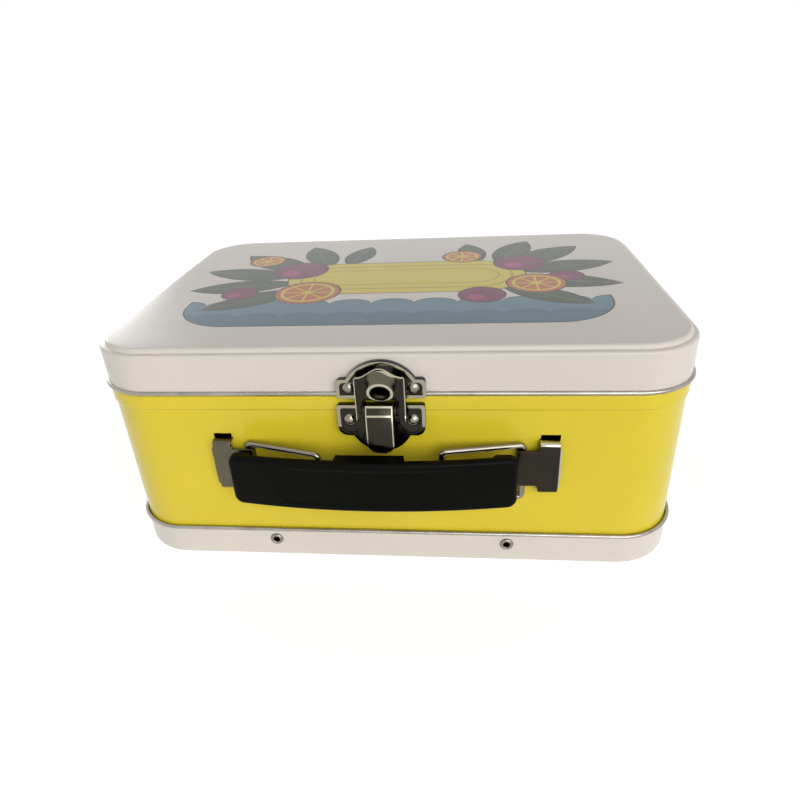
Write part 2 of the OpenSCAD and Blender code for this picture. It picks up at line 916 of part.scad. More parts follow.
module handle_grip() {
  color([0.07, 0.07, 0.07])
    grip_place()
      difference() {
        intersection() {
          grip_plan(grip_h)
            intersection() {
              difference() {
                grip_disc(0);
                translate([0, back_mid - back_r])
                  circle(back_r, $fn = 360);
              }
              translate([-half_l, 0])
                square([grip_l, face_mid + 1]);
            }
          linear_extrude(face_mid + 1)
            round_rect(grip_l, grip_h, grip_corner_r);
        }
        // The channel.
        grip_plan(grip_h - 2 * grip_wall)
          intersection() {
            grip_disc(grip_wall);
            translate([-half_l + grip_wall, 0])
              square([grip_l - 2 * grip_wall, face_mid]);
          }
        // Reliefs in the back rim where the links' wires come in.
        for (side = [-1, 1])
          grip_plan(grip_h + 2)
            intersection() {
              grip_disc(rim_t);
              translate([side > 0 ? relief_from : -relief_to, 0])
                square([relief_to - relief_from, face_mid]);
            }
      }
}

// Each keeper is a flat staple behind the link's wire with a leg at each end.
keeper_t = 0.8;
keeper_gap = 0.9;
keeper_from = 9;
keeper_to = half_l - relief_margin;

module grip_keeper(side) {
  keeper_face = pivot_h + link_l * sin(link_turn(side)) - wire_r - keeper_gap;
  color([0.25, 0.24, 0.22])
    grip_place()
      outwards(side) {
        translate([keeper_from, -keeper_h / 2, keeper_face - keeper_t])
          cube([keeper_to - keeper_from, keeper_h, keeper_t]);
        intersection() {
          union()
            for (x = [keeper_from, keeper_to - keeper_t])
              translate([x, -keeper_h / 2, keeper_face - keeper_t])
                cube([keeper_t, keeper_h, face_mid]);
          grip_plan(keeper_h + 1)
            grip_disc(grip_wall);
        }
      }
}

module grip_keeper_left() { grip_keeper(-1); }
module grip_keeper_right() { grip_keeper(1); }

// ---- Rear hinges ----
knuckle_r = hinge_pin_r + pin_fit + 0.75;
hinge_h = bead_out + play + knuckle_r;
knuckle_w = hinge_w / 3;
leaf_h = 10;
leaf_rivet_margin = 5;
lid_rivet_z = collar_top + neck_h + hem_r + tail_r + play;
lid_leaf_top = lid_rivet_z + 3.4;
body_leaf_foot = collar_z - leaf_h;
body_rivet_z = collar_z - leaf_h / 2 + 1;
hinge_rivet_x = hinge_w / 2 - leaf_rivet_margin;

module at_hinge_rivets(z) {
  on_rear()
    for (place = [-1, 1], side = [-1, 1])
      translate([place * hinge_x + side * hinge_rivet_x, z, 0])
        children();
}

module hinge_bore() {
  translate([-hinge_w, lid_z, hinge_h])
    rotate([0, 90, 0])
      cylinder(r = hinge_pin_r + pin_fit, h = 2 * hinge_w, $fn = 48);
}

// A knuckle from one x to another, joined to its leaf by a web above (up = 1) or below (up = -1) the axis.
module knuckle(from, to, up) {
  web_t = leaf_t;
  translate([from, lid_z, hinge_h])
    rotate([0, 90, 0])
      cylinder(r = knuckle_r, h = to - from, $fn = 64);
  translate([from, up > 0 ? lid_z + knuckle_r - web_t : lid_z - knuckle_r, 0])
    cube([to - from, web_t, hinge_h]);
}

module hinge_body_leaf(place) {
  color([0.6, 0.58, 0.52])
    on_rear()
      translate([place * hinge_x, 0, 0])
        difference() {
          union() {
            knuckle(-hinge_w / 2, -knuckle_w / 2 - play / 2, -1);
            knuckle(knuckle_w / 2 + play / 2, hinge_w / 2, -1);
            translate([-hinge_w / 2, body_leaf_foot, 0])
              cube([hinge_w, lid_z - knuckle_r + leaf_t - body_leaf_foot, leaf_t]);
          }
          hinge_bore();
          for (side = [-1, 1])
            translate([side * hinge_rivet_x, body_rivet_z, 0])
              rivet_hole();
        }
}

module hinge_lid_leaf(place) {
  foot = lid_z + knuckle_r - leaf_t;
  color([0.6, 0.58, 0.52])
    on_rear()
      translate([place * hinge_x, 0, 0])
        difference() {
          union() {
            knuckle(-knuckle_w / 2 + play / 2, knuckle_w / 2 - play / 2, 1);
            translate([-hinge_w / 2, foot, 0])
              cube([hinge_w, lid_leaf_top - foot, leaf_t]);
          }
          hinge_bore();
          for (side = [-1, 1])
            translate([side * hinge_rivet_x, lid_rivet_z, 0])
              rivet_hole();
        }
}

module hinge_pin(place) {
  head = 0.6;
  color([0.7, 0.68, 0.62])
    on_rear()
      translate([place * hinge_x - hinge_w / 2, lid_z, hinge_h])
        rotate([0, 90, 0]) {
          cylinder(r = hinge_pin_r, h = hinge_w, $fn = 48);
          translate([0, 0, -head])
            cylinder(r = hinge_pin_r + 0.5, h = head, $fn = 48);
          translate([0, 0, hinge_w])
            cylinder(r = hinge_pin_r + 0.5, h = head, $fn = 48);
        }
}

module hinge_body_leaf_left() { hinge_body_leaf(1); }
module hinge_body_leaf_right() { hinge_body_leaf(-1); }
module hinge_lid_leaf_left() { hinge_lid_leaf(1); }
module hinge_lid_leaf_right() { hinge_lid_leaf(-1); }
module hinge_pin_left() { hinge_pin(1); }
module hinge_pin_right() { hinge_pin(-1); }

module hinge_body_rivets() {
  color([0.7, 0.68, 0.62])
    at_hinge_rivets(body_rivet_z)
      rivet(leaf_t, -wall_in - sheet);
}

module hinge_lid_rivets() {
  color([0.7, 0.68, 0.62])
    at_hinge_rivets(lid_rivet_z)
      rivet(leaf_t, -sheet);
}

lid_shell();
lid_rim_bead();
wall_band();
bottom_tray();
tray_rim_bead();
tray_rivets();
strike_plate();
strike_rivets();
latch_base_plate();
latch_base_rivets();
hasp();
hasp_pin();
latch_lever();
lever_pin();
handle_bracket_left();
handle_bracket_right();
handle_link_left();
handle_link_right();
handle_grip();
grip_keeper_left();
grip_keeper_right();
hinge_body_leaf_left();
hinge_body_leaf_right();
hinge_lid_leaf_left();
hinge_lid_leaf_right();
hinge_pin_left();
hinge_pin_right();
hinge_body_rivets();
hinge_lid_rivets();
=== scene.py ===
"""Finishes the packed tin lunch box: enamelled shells, rolled beads, nickelled latch, handle and studio."""

import json
import math

import bmesh
import bpy
from mathutils import Matrix, Vector


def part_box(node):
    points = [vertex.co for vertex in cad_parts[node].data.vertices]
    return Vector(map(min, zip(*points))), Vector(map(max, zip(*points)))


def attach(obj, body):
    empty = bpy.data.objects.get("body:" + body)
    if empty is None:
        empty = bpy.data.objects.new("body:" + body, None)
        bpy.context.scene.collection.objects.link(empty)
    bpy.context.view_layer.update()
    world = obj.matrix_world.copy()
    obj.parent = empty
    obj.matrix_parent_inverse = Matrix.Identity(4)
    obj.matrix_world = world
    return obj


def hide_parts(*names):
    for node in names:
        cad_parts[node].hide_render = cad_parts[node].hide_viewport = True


bl_info = {
    "name": "Tin Lunch Box Finish",
    "version": (1, 0, 0),
    "blender": (4, 5, 0),
    "location": "View3D > Sidebar > Lunch Box",
    "description": "Builds the finish of a small tin lunch box around its packed construction",
    "category": "Object",
}

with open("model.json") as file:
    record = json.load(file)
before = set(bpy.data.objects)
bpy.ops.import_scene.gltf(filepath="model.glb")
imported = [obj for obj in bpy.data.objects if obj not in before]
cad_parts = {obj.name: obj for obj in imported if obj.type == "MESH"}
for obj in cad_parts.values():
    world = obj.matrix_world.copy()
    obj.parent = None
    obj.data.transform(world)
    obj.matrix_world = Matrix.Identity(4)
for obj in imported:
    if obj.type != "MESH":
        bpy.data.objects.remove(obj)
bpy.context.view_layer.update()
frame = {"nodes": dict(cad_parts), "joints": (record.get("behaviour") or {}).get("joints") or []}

MM = 0.001


def low(node):
    return Vector(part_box(node)[0])


def high(node):
    return Vector(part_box(node)[1])


# The case, measured on its own nodes.
CASE_W = high("lid_shell").x - low("lid_shell").x
CASE_D = high("lid_shell").y - low("lid_shell").y
FRONT = low("lid_shell").y
TOP = high("lid_shell").z
LID_Z = low("lid_shell").z
TRAY_Z = high("bottom_tray").z
NECK_TOP = high("wall_band").z
GRIP_LOW = low("handle_grip")
GRIP_HIGH = high("handle_grip")


def length(name, description, default):
    """A size in metres, shown with its unit."""
    return bpy.props.FloatProperty(
        name=name, description=description, default=default, min=0.0, max=1.0, unit="LENGTH", precision=5
    )


def angle(name, description, degrees):
    """An angle, shown in degrees."""
    return bpy.props.FloatProperty(
        name=name, description=description, default=math.radians(degrees), subtype="ANGLE"
    )


def amount(name, description, default):
    """A plain number that isn't below nought."""
    return bpy.props.FloatProperty(name=name, description=description, default=default, min=0.0)


def colour(name, description, default):
    """A linear colour swatch."""
    return bpy.props.FloatVectorProperty(
        name=name, description=description, default=default, size=3, min=0.0, max=1.0, subtype="COLOR"
    )


class LUNCHBOX_PG_case(bpy.types.PropertyGroup):
    """Sizes of the pressed shells, as in the construction."""

    corner_r: length("Corner radius", "Radius of the case's upright corners", 19.5 * MM)
    sheet: length("Sheet", "Thickness of the tinplate", 0.5 * MM)
    panel_rise: length("Panel rise", "Height of the raised panel over the shoulder", 1.5 * MM)
    shoulder_w: length("Shoulder width", "Width of the shoulder around the raised panel", 1.9 * MM)
    edge_r: length("Edge radius", "Radius between skirt and shoulder", 1.0 * MM)
    groove_r: length("Groove radius", "Radius of the groove around the raised panel", 0.3 * MM)
    bead_d: length("Bead diameter", "Diameter of the rolled bead", 1.4 * MM)
    collar_h: length("Collar height", "Height of the proud collar under the lid", 5.4 * MM)
    lid_play: length("Lid play", "Gap between the lid's bead and the collar", 0.3 * MM)
    wall_in: length("Wall inset", "How far the wall stands inside the tray's skirt", 0.6 * MM)
    neck_in: length("Neck inset", "How far the neck stands inside the lid's skirt", 1.0 * MM)
    collar_r: length("Collar radius", "Rounding of the collar's upper edge", 0.6 * MM)
    step_h: length("Step height", "Height of the soft step below the collar", 0.9 * MM)
    hem_r: length("Hem radius", "Radius of the rolled hem on the neck", 0.6 * MM)
    tray_r: length("Tray radius", "Radius between the tray's skirt and its bottom", 1.6 * MM)
    eyelet_r: length("Eyelet hole", "Radius of the holes for the tubular rivets", 1.5 * MM)


class LUNCHBOX_PG_handle(bpy.types.PropertyGroup):
    """Sizes of the grip and its links."""

    bow: length("Grip bow", "How far the middle of the grip bows out", 3.7 * MM)
    depth: length("Grip depth", "Depth of the grip at its middle", 5.3 * MM)
    end_depth: length("Grip end depth", "Depth of the grip at its ends", 3.0 * MM)
    wall: length("Grip wall", "Wall of the moulded grip", 1.5 * MM)
    rim: length("Relieved rim", "Depth of the rim that is left where the wires come in", 2.2 * MM)
    edge: length("Grip edge radius", "Rounding of the grip's front edges", 1.3 * MM)
    corner: length("Grip corner radius", "Radius of the grip's corners in the front view", 3.0 * MM)
    relief_from: length("Relief start", "Distance of the reliefs' start from the grip's middle", 10.5 * MM)
    relief_to: length("Relief end", "Distance of the reliefs' end from the grip's middle", 38.0 * MM)
    stadium_x: length("Stadium half length", "Half the length of the sunk stadium", 30.0 * MM)
    stadium_z: length("Stadium half height", "Half the height of the sunk stadium", 6.4 * MM)
    stadium_depth: length("Stadium depth", "Depth of the sunk stadium", 0.22 * MM)
    wire_d: length("Wire diameter", "Diameter of the links' wire", 2.0 * MM)
    link_l: length("Link length", "Length of a link from its pivot to its inner wire", 25.5 * MM)
    link_half: length("Link half height", "Half the height of a link", 9.7 * MM)
    link_bend: length("Link bend", "Radius of a link's bends", 1.5 * MM)
    left_angle: angle("Left angle", "Turn of the left link out of the wall", 15)
    right_angle: angle("Right angle", "Turn of the right link out of the wall", 10)


class LUNCHBOX_PG_rivet(bpy.types.PropertyGroup):
    """Sizes of the rivets."""

    head_d: length("Head diameter", "Diameter of a domed head", 4.1 * MM)
    rise: length("Head rise", "Height of a domed head", 1.1 * MM)
    shank_r: length("Shank radius", "Radius of the shank", 1.1 * MM)
    tail_r: length("Tail radius", "Radius of the upset tail", 1.9 * MM)
    tail_t: length("Tail thickness", "Thickness of the upset tail", 0.7 * MM)
    plate_h: length("Latch seat", "Distance of the latch plates' faces from the case's front", 1.8 * MM)
    leaf_h: length("Hinge seat", "Distance of the hinge leaves' faces from the case's rear", 0.7 * MM)
    eyelet_d: length("Eyelet diameter", "Diameter of a tubular rivet's flange", 4.6 * MM)
    eyelet_t: length("Eyelet flange", "Thickness of a tubular rivet's flange", 0.7 * MM)
    eyelet_bore: length("Eyelet bore", "Radius of a tubular rivet's bore", 1.1 * MM)


class LUNCHBOX_PG_painted_light(bpy.types.PropertyGroup):
    """Where highlights, shade and warm reflections are painted on the stampings. Heights are taken from the
    lid's edge.
    """

    soft: length("Softness", "Half the width of a tone's soft edge", 0.08 * MM)
    ridge_out: length("Ridge stand-off", "Stand-off of the plates' raised edges", 2.2 * MM)
    ridge_half: length("Ridge band", "Half the depth that counts as the raised edge", 0.08 * MM)
    ridge_foot: length("Ridge foot", "How far down the base plate's edge is bright", 10.5 * MM)
    ear_from: length("Ear inner side", "Distance of the ears' inner sides from the middle", 4.6 * MM)
    ear_to: length("Ear outer side", "Distance of the ears' outer sides from the middle", 7.9 * MM)
    ear_out: length("Ear stand-off", "Stand-off from which the ears are dark", 2.6 * MM)
    hasp_side: length("Hasp side", "Width of the hasp's bright sides", 0.26 * MM)
    flange_out: length("Hasp flange", "Stand-off of the hasp's flange", 4.4 * MM)
    bell_top: length("Bell height", "Middle height of the hasp's bell-shaped top", 8.75 * MM)
    bell_rise: length("Bell rise", "Rise of the bell over its middle height", 1.4 * MM)
    bell_half: length("Bell half width", "Distance from the bell's crest to its foot", 6.7 * MM)
    nose_out: length("Nose stand-off", "Stand-off from which the hasp belongs to its nose", 5.3 * MM)
    nose_foot: length("Nose foot", "Height from which the hasp belongs to its nose", 1.0 * MM)
    nose_root: length("Nose root", "Stand-off of the nose's root", 4.2 * MM)
    nose_z: length("Nose height", "Height of the nose's root", 5.7 * MM)
    nose_l: length("Nose length", "Length of the nose up to its bright face", 4.2 * MM)
    nose_tilt: angle("Nose tilt", "How far the nose looks down", 20)
    lever_half: length("Lever half width", "Half the width of the lever inside its bright sides", 3.68 * MM)
    lever_tip: length("Lever tip", "Depth of the middle of the lever's round tip", 12.7 * MM)
    lever_bend: length("Lever bend", "Depth of the lever's bend", 2.75 * MM)
    lever_line: length("Lever line", "Half the width of the bright bend", 0.3 * MM)
    lever_head: length("Lever head", "Depth of the foot of the lever's bright upper edge", 0.45 * MM)
    bracket_side: length("Bracket side", "Width of the bracket's bright outer side", 0.55 * MM)
    bracket_top: length("Bracket top", "Height of the bracket's bright upper bend", 1.0 * MM)
    bracket_out: length("Bracket stand-off", "Stand-off from which the bend is bright", 0.5 * MM)


class LUNCHBOX_PG_finish(bpy.types.PropertyGroup):
    """Colours of the finishes."""

    white: colour("White enamel", "Colour of the lid and tray", (0.80, 0.735, 0.665))
    yellow: colour("Yellow enamel", "Colour of the wall band", (0.83, 0.655, 0.034))
    print_yellow: colour("Print yellow", "Colour of the printed sun", (0.78, 0.64, 0.055))
    print_blue: colour("Print blue", "Colour of the printed waves", (0.130, 0.245, 0.320))
    print_green: colour("Print green", "Colour of the printed leaves", (0.050, 0.072, 0.040))
    print_purple: colour("Print purple", "Colour of the printed discs", (0.190, 0.016, 0.080))
    print_orange: colour("Print orange", "Colour of the printed slices", (0.56, 0.160, 0.045))
    print_black: colour("Print black", "Colour of the printed outlines", (0.012, 0.011, 0.010))
    nickel: colour("Nickel", "Colour of the bright nickel plate", (0.27, 0.25, 0.20))
    nickel_dark: colour("Dark nickel", "Colour of the latch's nickel plate", (0.036, 0.032, 0.025))
    # The warm colour is a painted warm reflection: it makes the left bracket a lighter copy of the right
    # bracket's nickel, and lies on the hasp's nose.
    painted_warm_reflection: colour("Warm nickel", "Colour of the left bracket and the hasp's nose", (0.13, 0.115, 0.08))
    # The rim colour is a painted highlight on the edges of the stampings.
    rim: colour("Rubbed rim", "Colour of the rubbed edges of the stampings", (0.50, 0.46, 0.36))
    tin: colour("Tinplate", "Colour of the bare inside", (0.40, 0.385, 0.345))
    tin_pale: colour("Pale tinplate", "Colour of the paler patches inside", (0.46, 0.445, 0.40))
    bead: colour("Bead", "Colour of the rolled edges", (0.42, 0.40, 0.36))
    bead_dull: colour("Dull bead", "Colour of the dull spots on the rolled edges", (0.27, 0.26, 0.23))
    plastic: colour("Plastic", "Colour of the grip", (0.0022, 0.0022, 0.0018))


class LUNCHBOX_PG_stage(bpy.types.PropertyGroup):
    """The studio around the box."""

    eye: bpy.props.FloatVectorProperty(
        name="Eye",
        description="Where the camera stands",
        default=(0.02457, -0.23081, 0.15278),
        subtype="TRANSLATION",
    )
    down: angle("Down", "How far the camera looks down", 28.32)
    aside: angle("Aside", "How far the camera looks aside", -7.2)
    roll: angle("Roll", "Roll of the camera", -3.46)
    lens: amount("Lens", "Focal length in millimetres", 27.98)
    shift_x: amount("Shift", "Sideways shift of the lens", 0.00675)
    world: amount("World", "Strength of the surrounding light", 0.27)
    key: amount("Key", "Strength of the light from the front", 2.1)
    key_spread: angle("Key spread", "Breadth of the light from the front", 56)
    fill: amount("Fill", "Strength of the light from behind", 0.8)
    fill_spread: angle("Fill spread", "Breadth of the light from behind", 26)
    floor_lift: amount("Floor lift", "Light that the floor adds to the camera's view of it", 0.58)
    floor_half: amount("Floor half width", "Half the width of the floor in metres", 40.0)
    floor_gap: length("Floor gap", "How far the floor lies under the box", 0.2 * MM)


GROUPS = {
    "lunchbox_case": LUNCHBOX_PG_case,
    "lunchbox_handle": LUNCHBOX_PG_handle,
    "lunchbox_rivet": LUNCHBOX_PG_rivet,
    "lunchbox_rub": LUNCHBOX_PG_painted_light,
    "lunchbox_finish": LUNCHBOX_PG_finish,
    "lunchbox_stage": LUNCHBOX_PG_stage,
}


# ---- Meshes ----
# How near points are merged, and how flat, sharp or many-sided a face of the construction counts as such.
MERGE_GAP = 0.002 * MM
FLAT_ANGLE = math.radians(0.5)
SHARP_ANGLE = math.radians(28)
MANY_SIDES = 60


def new_object(name, data):
    """An object in the scene, at the origin."""
    thing = bpy.data.objects.new(name, data)
    bpy.context.scene.collection.objects.link(thing)
    return thing


def new_piece(name, body, replaced):
    """Gives an object with an empty mesh that rides on a body and stands for some nodes."""
    piece = new_object(name, bpy.data.meshes.new(name))
    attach(piece, body)
    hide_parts(*replaced)
    return piece


def fill_mesh(piece, verts, faces, smooth=True):
    """Writes vertices and faces into a piece and turns its faces outwards."""
    mesh = piece.data
    mesh.from_pydata([tuple(v) for v in verts], [], faces)
    bm = bmesh.new()
    bm.from_mesh(mesh)
    bmesh.ops.remove_doubles(bm, verts=bm.verts, dist=0.0001 * MM)
    bmesh.ops.recalc_face_normals(bm, faces=bm.faces)
    for face in bm.faces:
        face.smooth = smooth
    bm.to_mesh(mesh)
    bm.free()
    mesh.update()


def arc(x, z, r, start, end, steps):
    """Points of an arc in a profile's plane, angles in degrees."""
    angles = [math.radians(start + (end - start) * i / steps) for i in range(steps + 1)]
    return [(x + r * math.cos(a), z + r * math.sin(a)) for a in angles]


def soft_step(x0, z0, x1, z1, steps=10):
    """Points of a soft step from one inset to another."""
    ts = [i / steps for i in range(steps + 1)]
    return [(x0 + (x1 - x0) * (1 - math.cos(math.pi * t)) / 2, z0 + (z1 - z0) * t) for t in ts]


def stations(radius, corner_steps=20, run_steps=24):
    """Points on the case's outline with their outward directions, from the rear right corner leftwards."""
    half_x = CASE_W / 2 - radius
    half_y = CASE_D / 2 - radius
    centres = [(half_x, half_y), (-half_x, half_y), (-half_x, -half_y), (half_x, -half_y)]
    out = []
    for i, (cx, cy) in enumerate(centres):
        for k in range(corner_steps + 1):
            a = math.radians(90 * i + 90 * k / corner_steps)
            n = Vector((math.cos(a), math.sin(a), 0))
            out.append((Vector((cx, cy, 0)) + n * radius, n))
        nx, ny = centres[(i + 1) % 4]
        a = math.radians(90 * (i + 1))
        n = Vector((math.cos(a), math.sin(a), 0))
        for k in range(1, run_steps):
            t = k / run_steps
            out.append((Vector((cx + (nx - cx) * t, cy + (ny - cy) * t, 0)) + n * radius, n))
    return out


def swept(path, profile, closed=True):
    """Vertices and quads of a profile swept around the case."""
    verts = [p + n * x + Vector((0, 0, z)) for p, n in path for x, z in profile]
    rows, cols = len(path), len(profile)
    faces = []
    for i in range(rows):
        j = (i + 1) % rows
        for k in range(cols if closed else cols - 1):
            m = (k + 1) % cols
            faces.append((i * cols + k, j * cols + k, j * cols + m, i * cols + m))
    return verts, faces


def add_panel(verts, faces, path, inset, z, rings=14):
    """Fills the inside of a ring with a flat panel."""
    rim = [p - n * inset for p, n in path]
    count = len(rim)
    start = len(verts)
    for r in range(rings):
        share = 1 - r / rings
        verts += [Vector((p.x * share, p.y * share, z)) for p in rim]
    for r in range(rings - 1):
        for i in range(count):
            j = (i + 1) % count
            a, b = start + r * count, start + (r + 1) * count
            faces.append((a + i, a + j, b + j, b + i))
    verts.append(Vector((0, 0, z)))
    last = start + (rings - 1) * count
    for i in range(count):
        faces.append((last + i, last + (i + 1) % count, len(verts) - 1))


def stamped_part(name, node, body, width, material):
    """A stamped part with its sharp edges broken: the node's mesh, merged, bevelled and shaded smooth."""
    piece = new_piece(name, body, (node,))
    bm = bmesh.new()
    bm.from_mesh(frame["nodes"][node].data)
    bmesh.ops.remove_doubles(bm, verts=bm.verts, dist=MERGE_GAP)
    bmesh.ops.dissolve_limit(
        bm, angle_limit=FLAT_ANGLE, use_dissolve_boundaries=False, verts=bm.verts, edges=bm.edges
    )
    bmesh.ops.triangulate(bm, faces=[f for f in bm.faces if len(f.verts) > MANY_SIDES])
    for face in bm.faces:
        face.smooth = True
    bm.to_mesh(piece.data)
    bm.free()
    bevel = piece.modifiers.new("broken edges", "BEVEL")
    bevel.width = width
    bevel.segments = 3
    bevel.limit_method = "ANGLE"
    bevel.angle_limit = SHARP_ANGLE
    bevel.use_clamp_overlap = True
    bevel.harden_normals = True
    bake_modifiers(piece)
    piece.data.materials.clear()
    piece.data.materials.append(material)
    return piece


def bake_modifiers(piece):
    """Replaces a piece's mesh by the result of its modifiers and removes them."""
    depsgraph = bpy.context.evaluated_depsgraph_get()
    depsgraph.update()
    result = bpy.data.meshes.new_from_object(piece.evaluated_get(depsgraph), depsgraph=depsgraph)
    piece.modifiers.clear()
    piece.data = result


def tube(points, radius, sides=20):
    """Vertices and quads of a round wire along a closed row of points in one plane."""
    count = len(points)
    normal = (points[1] - points[0]).cross(points[count // 2] - points[0]).normalized()
    verts, faces = [], []
    for i, p in enumerate(points):
        ahead = points[(i + 1) % count] - points[i - 1]
        side = normal.cross(ahead).normalized()
        for k in range(sides):
            a = 2 * math.pi * k / sides
            verts.append(p + side * (radius * math.cos(a)) + normal * (radius * math.sin(a)))
    for i in range(count):
        j = (i + 1) % count
        for k in range(sides):
            m = (k + 1) % sides
            faces.append((i * sides + k, j * sides + k, j * sides + m, i * sides + m))
    return verts, faces


# ---- Materials ----
def shade(paint, factor):
    """A colour made darker or lighter."""
    return tuple(min(1.0, c * factor) for c in paint)


class Shader:
    """A material's node tree with short calls for the nodes that the finishes use."""

    def __init__(self, name):
        self.material = bpy.data.materials.new(name)
        self.material.use_nodes = True
        self.tree = self.material.node_tree
        self.tree.nodes.clear()
        output = self.tree.nodes.new("ShaderNodeOutputMaterial")
        self.surface = self.tree.nodes.new("ShaderNodeBsdfPrincipled")
        self.tree.links.new(self.surface.outputs[0], output.inputs["Surface"])
        self.place = self.tree.nodes.new("ShaderNodeTexCoord").outputs["Object"]

    def put(self, socket, value):
        """Links a socket's output, or sets a plain value."""
        if isinstance(value, bpy.types.NodeSocket):
            self.tree.links.new(value, socket)
        else:
            socket.default_value = value

    def math(self, operation, *terms):
        node = self.tree.nodes.new("ShaderNodeMath")
        node.operation = operation
        for socket, term in zip(node.inputs, terms):
            self.put(socket, term)
        return node.outputs[0]

    def less(self, a, b):
        return self.math("SUBTRACT", a, b)

    def plus(self, a, b):
        return self.math("ADD", a, b)

    def times(self, a, b):
        return self.math("MULTIPLY", a, b)

    def size(self, a):
        return self.math("ABSOLUTE", a)

    def far(self, a, b):
        """How far two values lie apart."""
        return self.size(self.less(a, b))

    def reach(self, dx, dy):
        """The length of a step across and along."""
        return self.math("SQRT", self.plus(self.times(dx, dx), self.times(dy, dy)))

    def both(self, field, *others):
        """The field of what lies inside all of some fields. A field is negative inside."""
        for other in others:
            field = self.math("MAXIMUM", field, other)
        return field

    def either(self, field, *others):
        """The field of what lies inside any of some fields."""
        for other in others:
            field = self.math("MINIMUM", field, other)
        return field

    def inside(self, field, soft):
        """1 where a field is negative, with a soft edge."""
        return self.spread(field, -soft, soft, 1.0, 0.0)

    def axes(self):
        node = self.tree.nodes.new("ShaderNodeSeparateXYZ")
        self.put(node.inputs[0], self.place)
        return node.outputs[0], node.outputs[1], node.outputs[2]

    def noise(self, scale, detail=3.0, roughness=0.5, stretch=None):
        place = self.place
        if stretch:
            mapping = self.tree.nodes.new("ShaderNodeMapping")
            mapping.inputs["Scale"].default_value = stretch
            self.put(mapping.inputs["Vector"], place)
            place = mapping.outputs[0]
        node = self.tree.nodes.new("ShaderNodeTexNoise")
        self.put(node.inputs["Vector"], place)
        node.inputs["Scale"].default_value = scale
        node.inputs["Detail"].default_value = detail
        node.inputs["Roughness"].default_value = roughness
        return node.outputs["Fac"]

    def spread(self, value, from_low, from_high, to_low=0.0, to_high=1.0):
        """Maps one range to another, held at its ends."""
        node = self.tree.nodes.new("ShaderNodeMapRange")
        numbers = {"From Min": from_low, "From Max": from_high, "To Min": to_low, "To Max": to_high}
        self.put(node.inputs["Value"], value)
        for key, number in numbers.items():
            node.inputs[key].default_value = number
        return node.outputs[0]

    def mix(self, factor, a, b):
        """Mixes two colours."""
        node = self.tree.nodes.new("ShaderNodeMix")
        node.data_type = "RGBA"
        self.put(node.inputs["Factor"], factor)
        for key, value in (("A", a), ("B", b)):
            self.put(node.inputs[key], value if isinstance(value, bpy.types.NodeSocket) else (*value, 1))
        return node.outputs["Result"]

    def mark(self, name):
        """A number that the mesh carries on its faces."""
        node = self.tree.nodes.new("ShaderNodeAttribute")
        node.attribute_name = name
        return node.outputs["Fac"]

    def bump(self, height, strength, distance):
        node = self.tree.nodes.new("ShaderNodeBump")
        self.put(node.inputs["Height"], height)
        node.inputs["Strength"].default_value = strength
        node.inputs["Distance"].default_value = distance
        self.put(self.surface.inputs["Normal"], node.outputs[0])

    def set(self, **values):
        """Sets the surface's own sockets: underscores stand for spaces."""
        for key, value in values.items():
            self.put(self.surface.inputs[key.replace("_", " ")], value)


def enamel(name, paint, printed=None):
    """Baked enamel with faint orange peel and rub in the gloss. The inside is left as lacquered tinplate."""
    finish = bpy.context.scene.lunchbox_finish
    s = Shader(name)
    tone = s.spread(s.noise(22.0, 4.0), 0.3, 0.7)
    base = s.mix(tone, shade(paint, 0.965), shade(paint, 1.02))
    if printed:
        base = printed(s, base)
    bare = s.mark("bare")
    rub_and_painted_light = s.spread(s.noise(160.0, 5.0, 0.6), 0.35, 0.75)
    s.set(
        Base_Color=s.mix(bare, base, s.mix(tone, finish.tin, finish.tin_pale)),
        Metallic=s.times(bare, 0.4),
        Roughness=s.plus(s.math("MULTIPLY_ADD", rub_and_painted_light, 0.08, 0.20), s.times(bare, 0.3)),
        Specular_IOR_Level=0.3,
        Coat_Weight=0.05,
        Coat_Roughness=0.06,
    )
    s.bump(s.noise(900.0, 2.0), 0.05, 0.2 * MM)
    return s.material


def nickel_plate(name, paint, rough_low, rough_high, *tones):
    """Plate with faint tarnish and fine rubbing, and tones of painted light. A tone is a colour and a
    function for its field: a painted highlight, painted shade or painted warm reflection.
    """
    s = Shader(name)
    patches = s.spread(s.noise(140.0, 4.0, 0.55), 0.35, 0.75)
    base = s.mix(patches, paint, shade(paint, 0.84))
    # Each tone paints light onto the plate: a painted highlight, painted shade or painted warm reflection
    # over its field.
    for tone, where in tones:
        rub_and_painted_light = bpy.context.scene.lunchbox_rub
        x, y, z = s.axes()
        base = s.mix(s.inside(where(s, rub_and_painted_light, x, s.less(FRONT, y), z), rub_and_painted_light.soft), base, tone)
    rough = s.spread(s.noise(420.0, 4.0), 0.3, 0.7, rough_low, rough_high)
    s.set(Base_Color=base, Metallic=1.0, Roughness=rough)
    s.bump(s.noise(500.0, 3.0, 0.6, stretch=(1.0, 1.0, 6.0)), 0.03, 0.1 * MM)
    return s.material


def rolled_tin(name):
    """Bare tinplate on the rolled edge, with dull spots."""
    finish = bpy.context.scene.lunchbox_finish
    s = Shader(name)
    dull = s.spread(s.noise(90.0, 5.0, 0.6), 0.35, 0.7)
    rough = s.spread(s.noise(300.0, 4.0), 0.3, 0.7, 0.2, 0.36)
    s.set(Base_Color=s.mix(dull, finish.bead, finish.bead_dull), Metallic=1.0, Roughness=rough)
    s.bump(s.noise(400.0, 3.0), 0.1, 0.1 * MM)
    return s.material


def moulded_plastic(name, paint):
    """Satin moulded plastic: fine grain, handling shine in patches."""
    s = Shader(name)
    shine = s.spread(s.noise(60.0, 4.0), 0.35, 0.7, 0.28, 0.38)
    base = s.mix(s.noise(300.0, 3.0), paint, shade(paint, 1.6))
    s.set(Base_Color=base, Roughness=shine, Specular_IOR_Level=0.05)
    s.bump(s.noise(2600.0, 2.0), 0.08, 0.1 * MM)
    return s.material
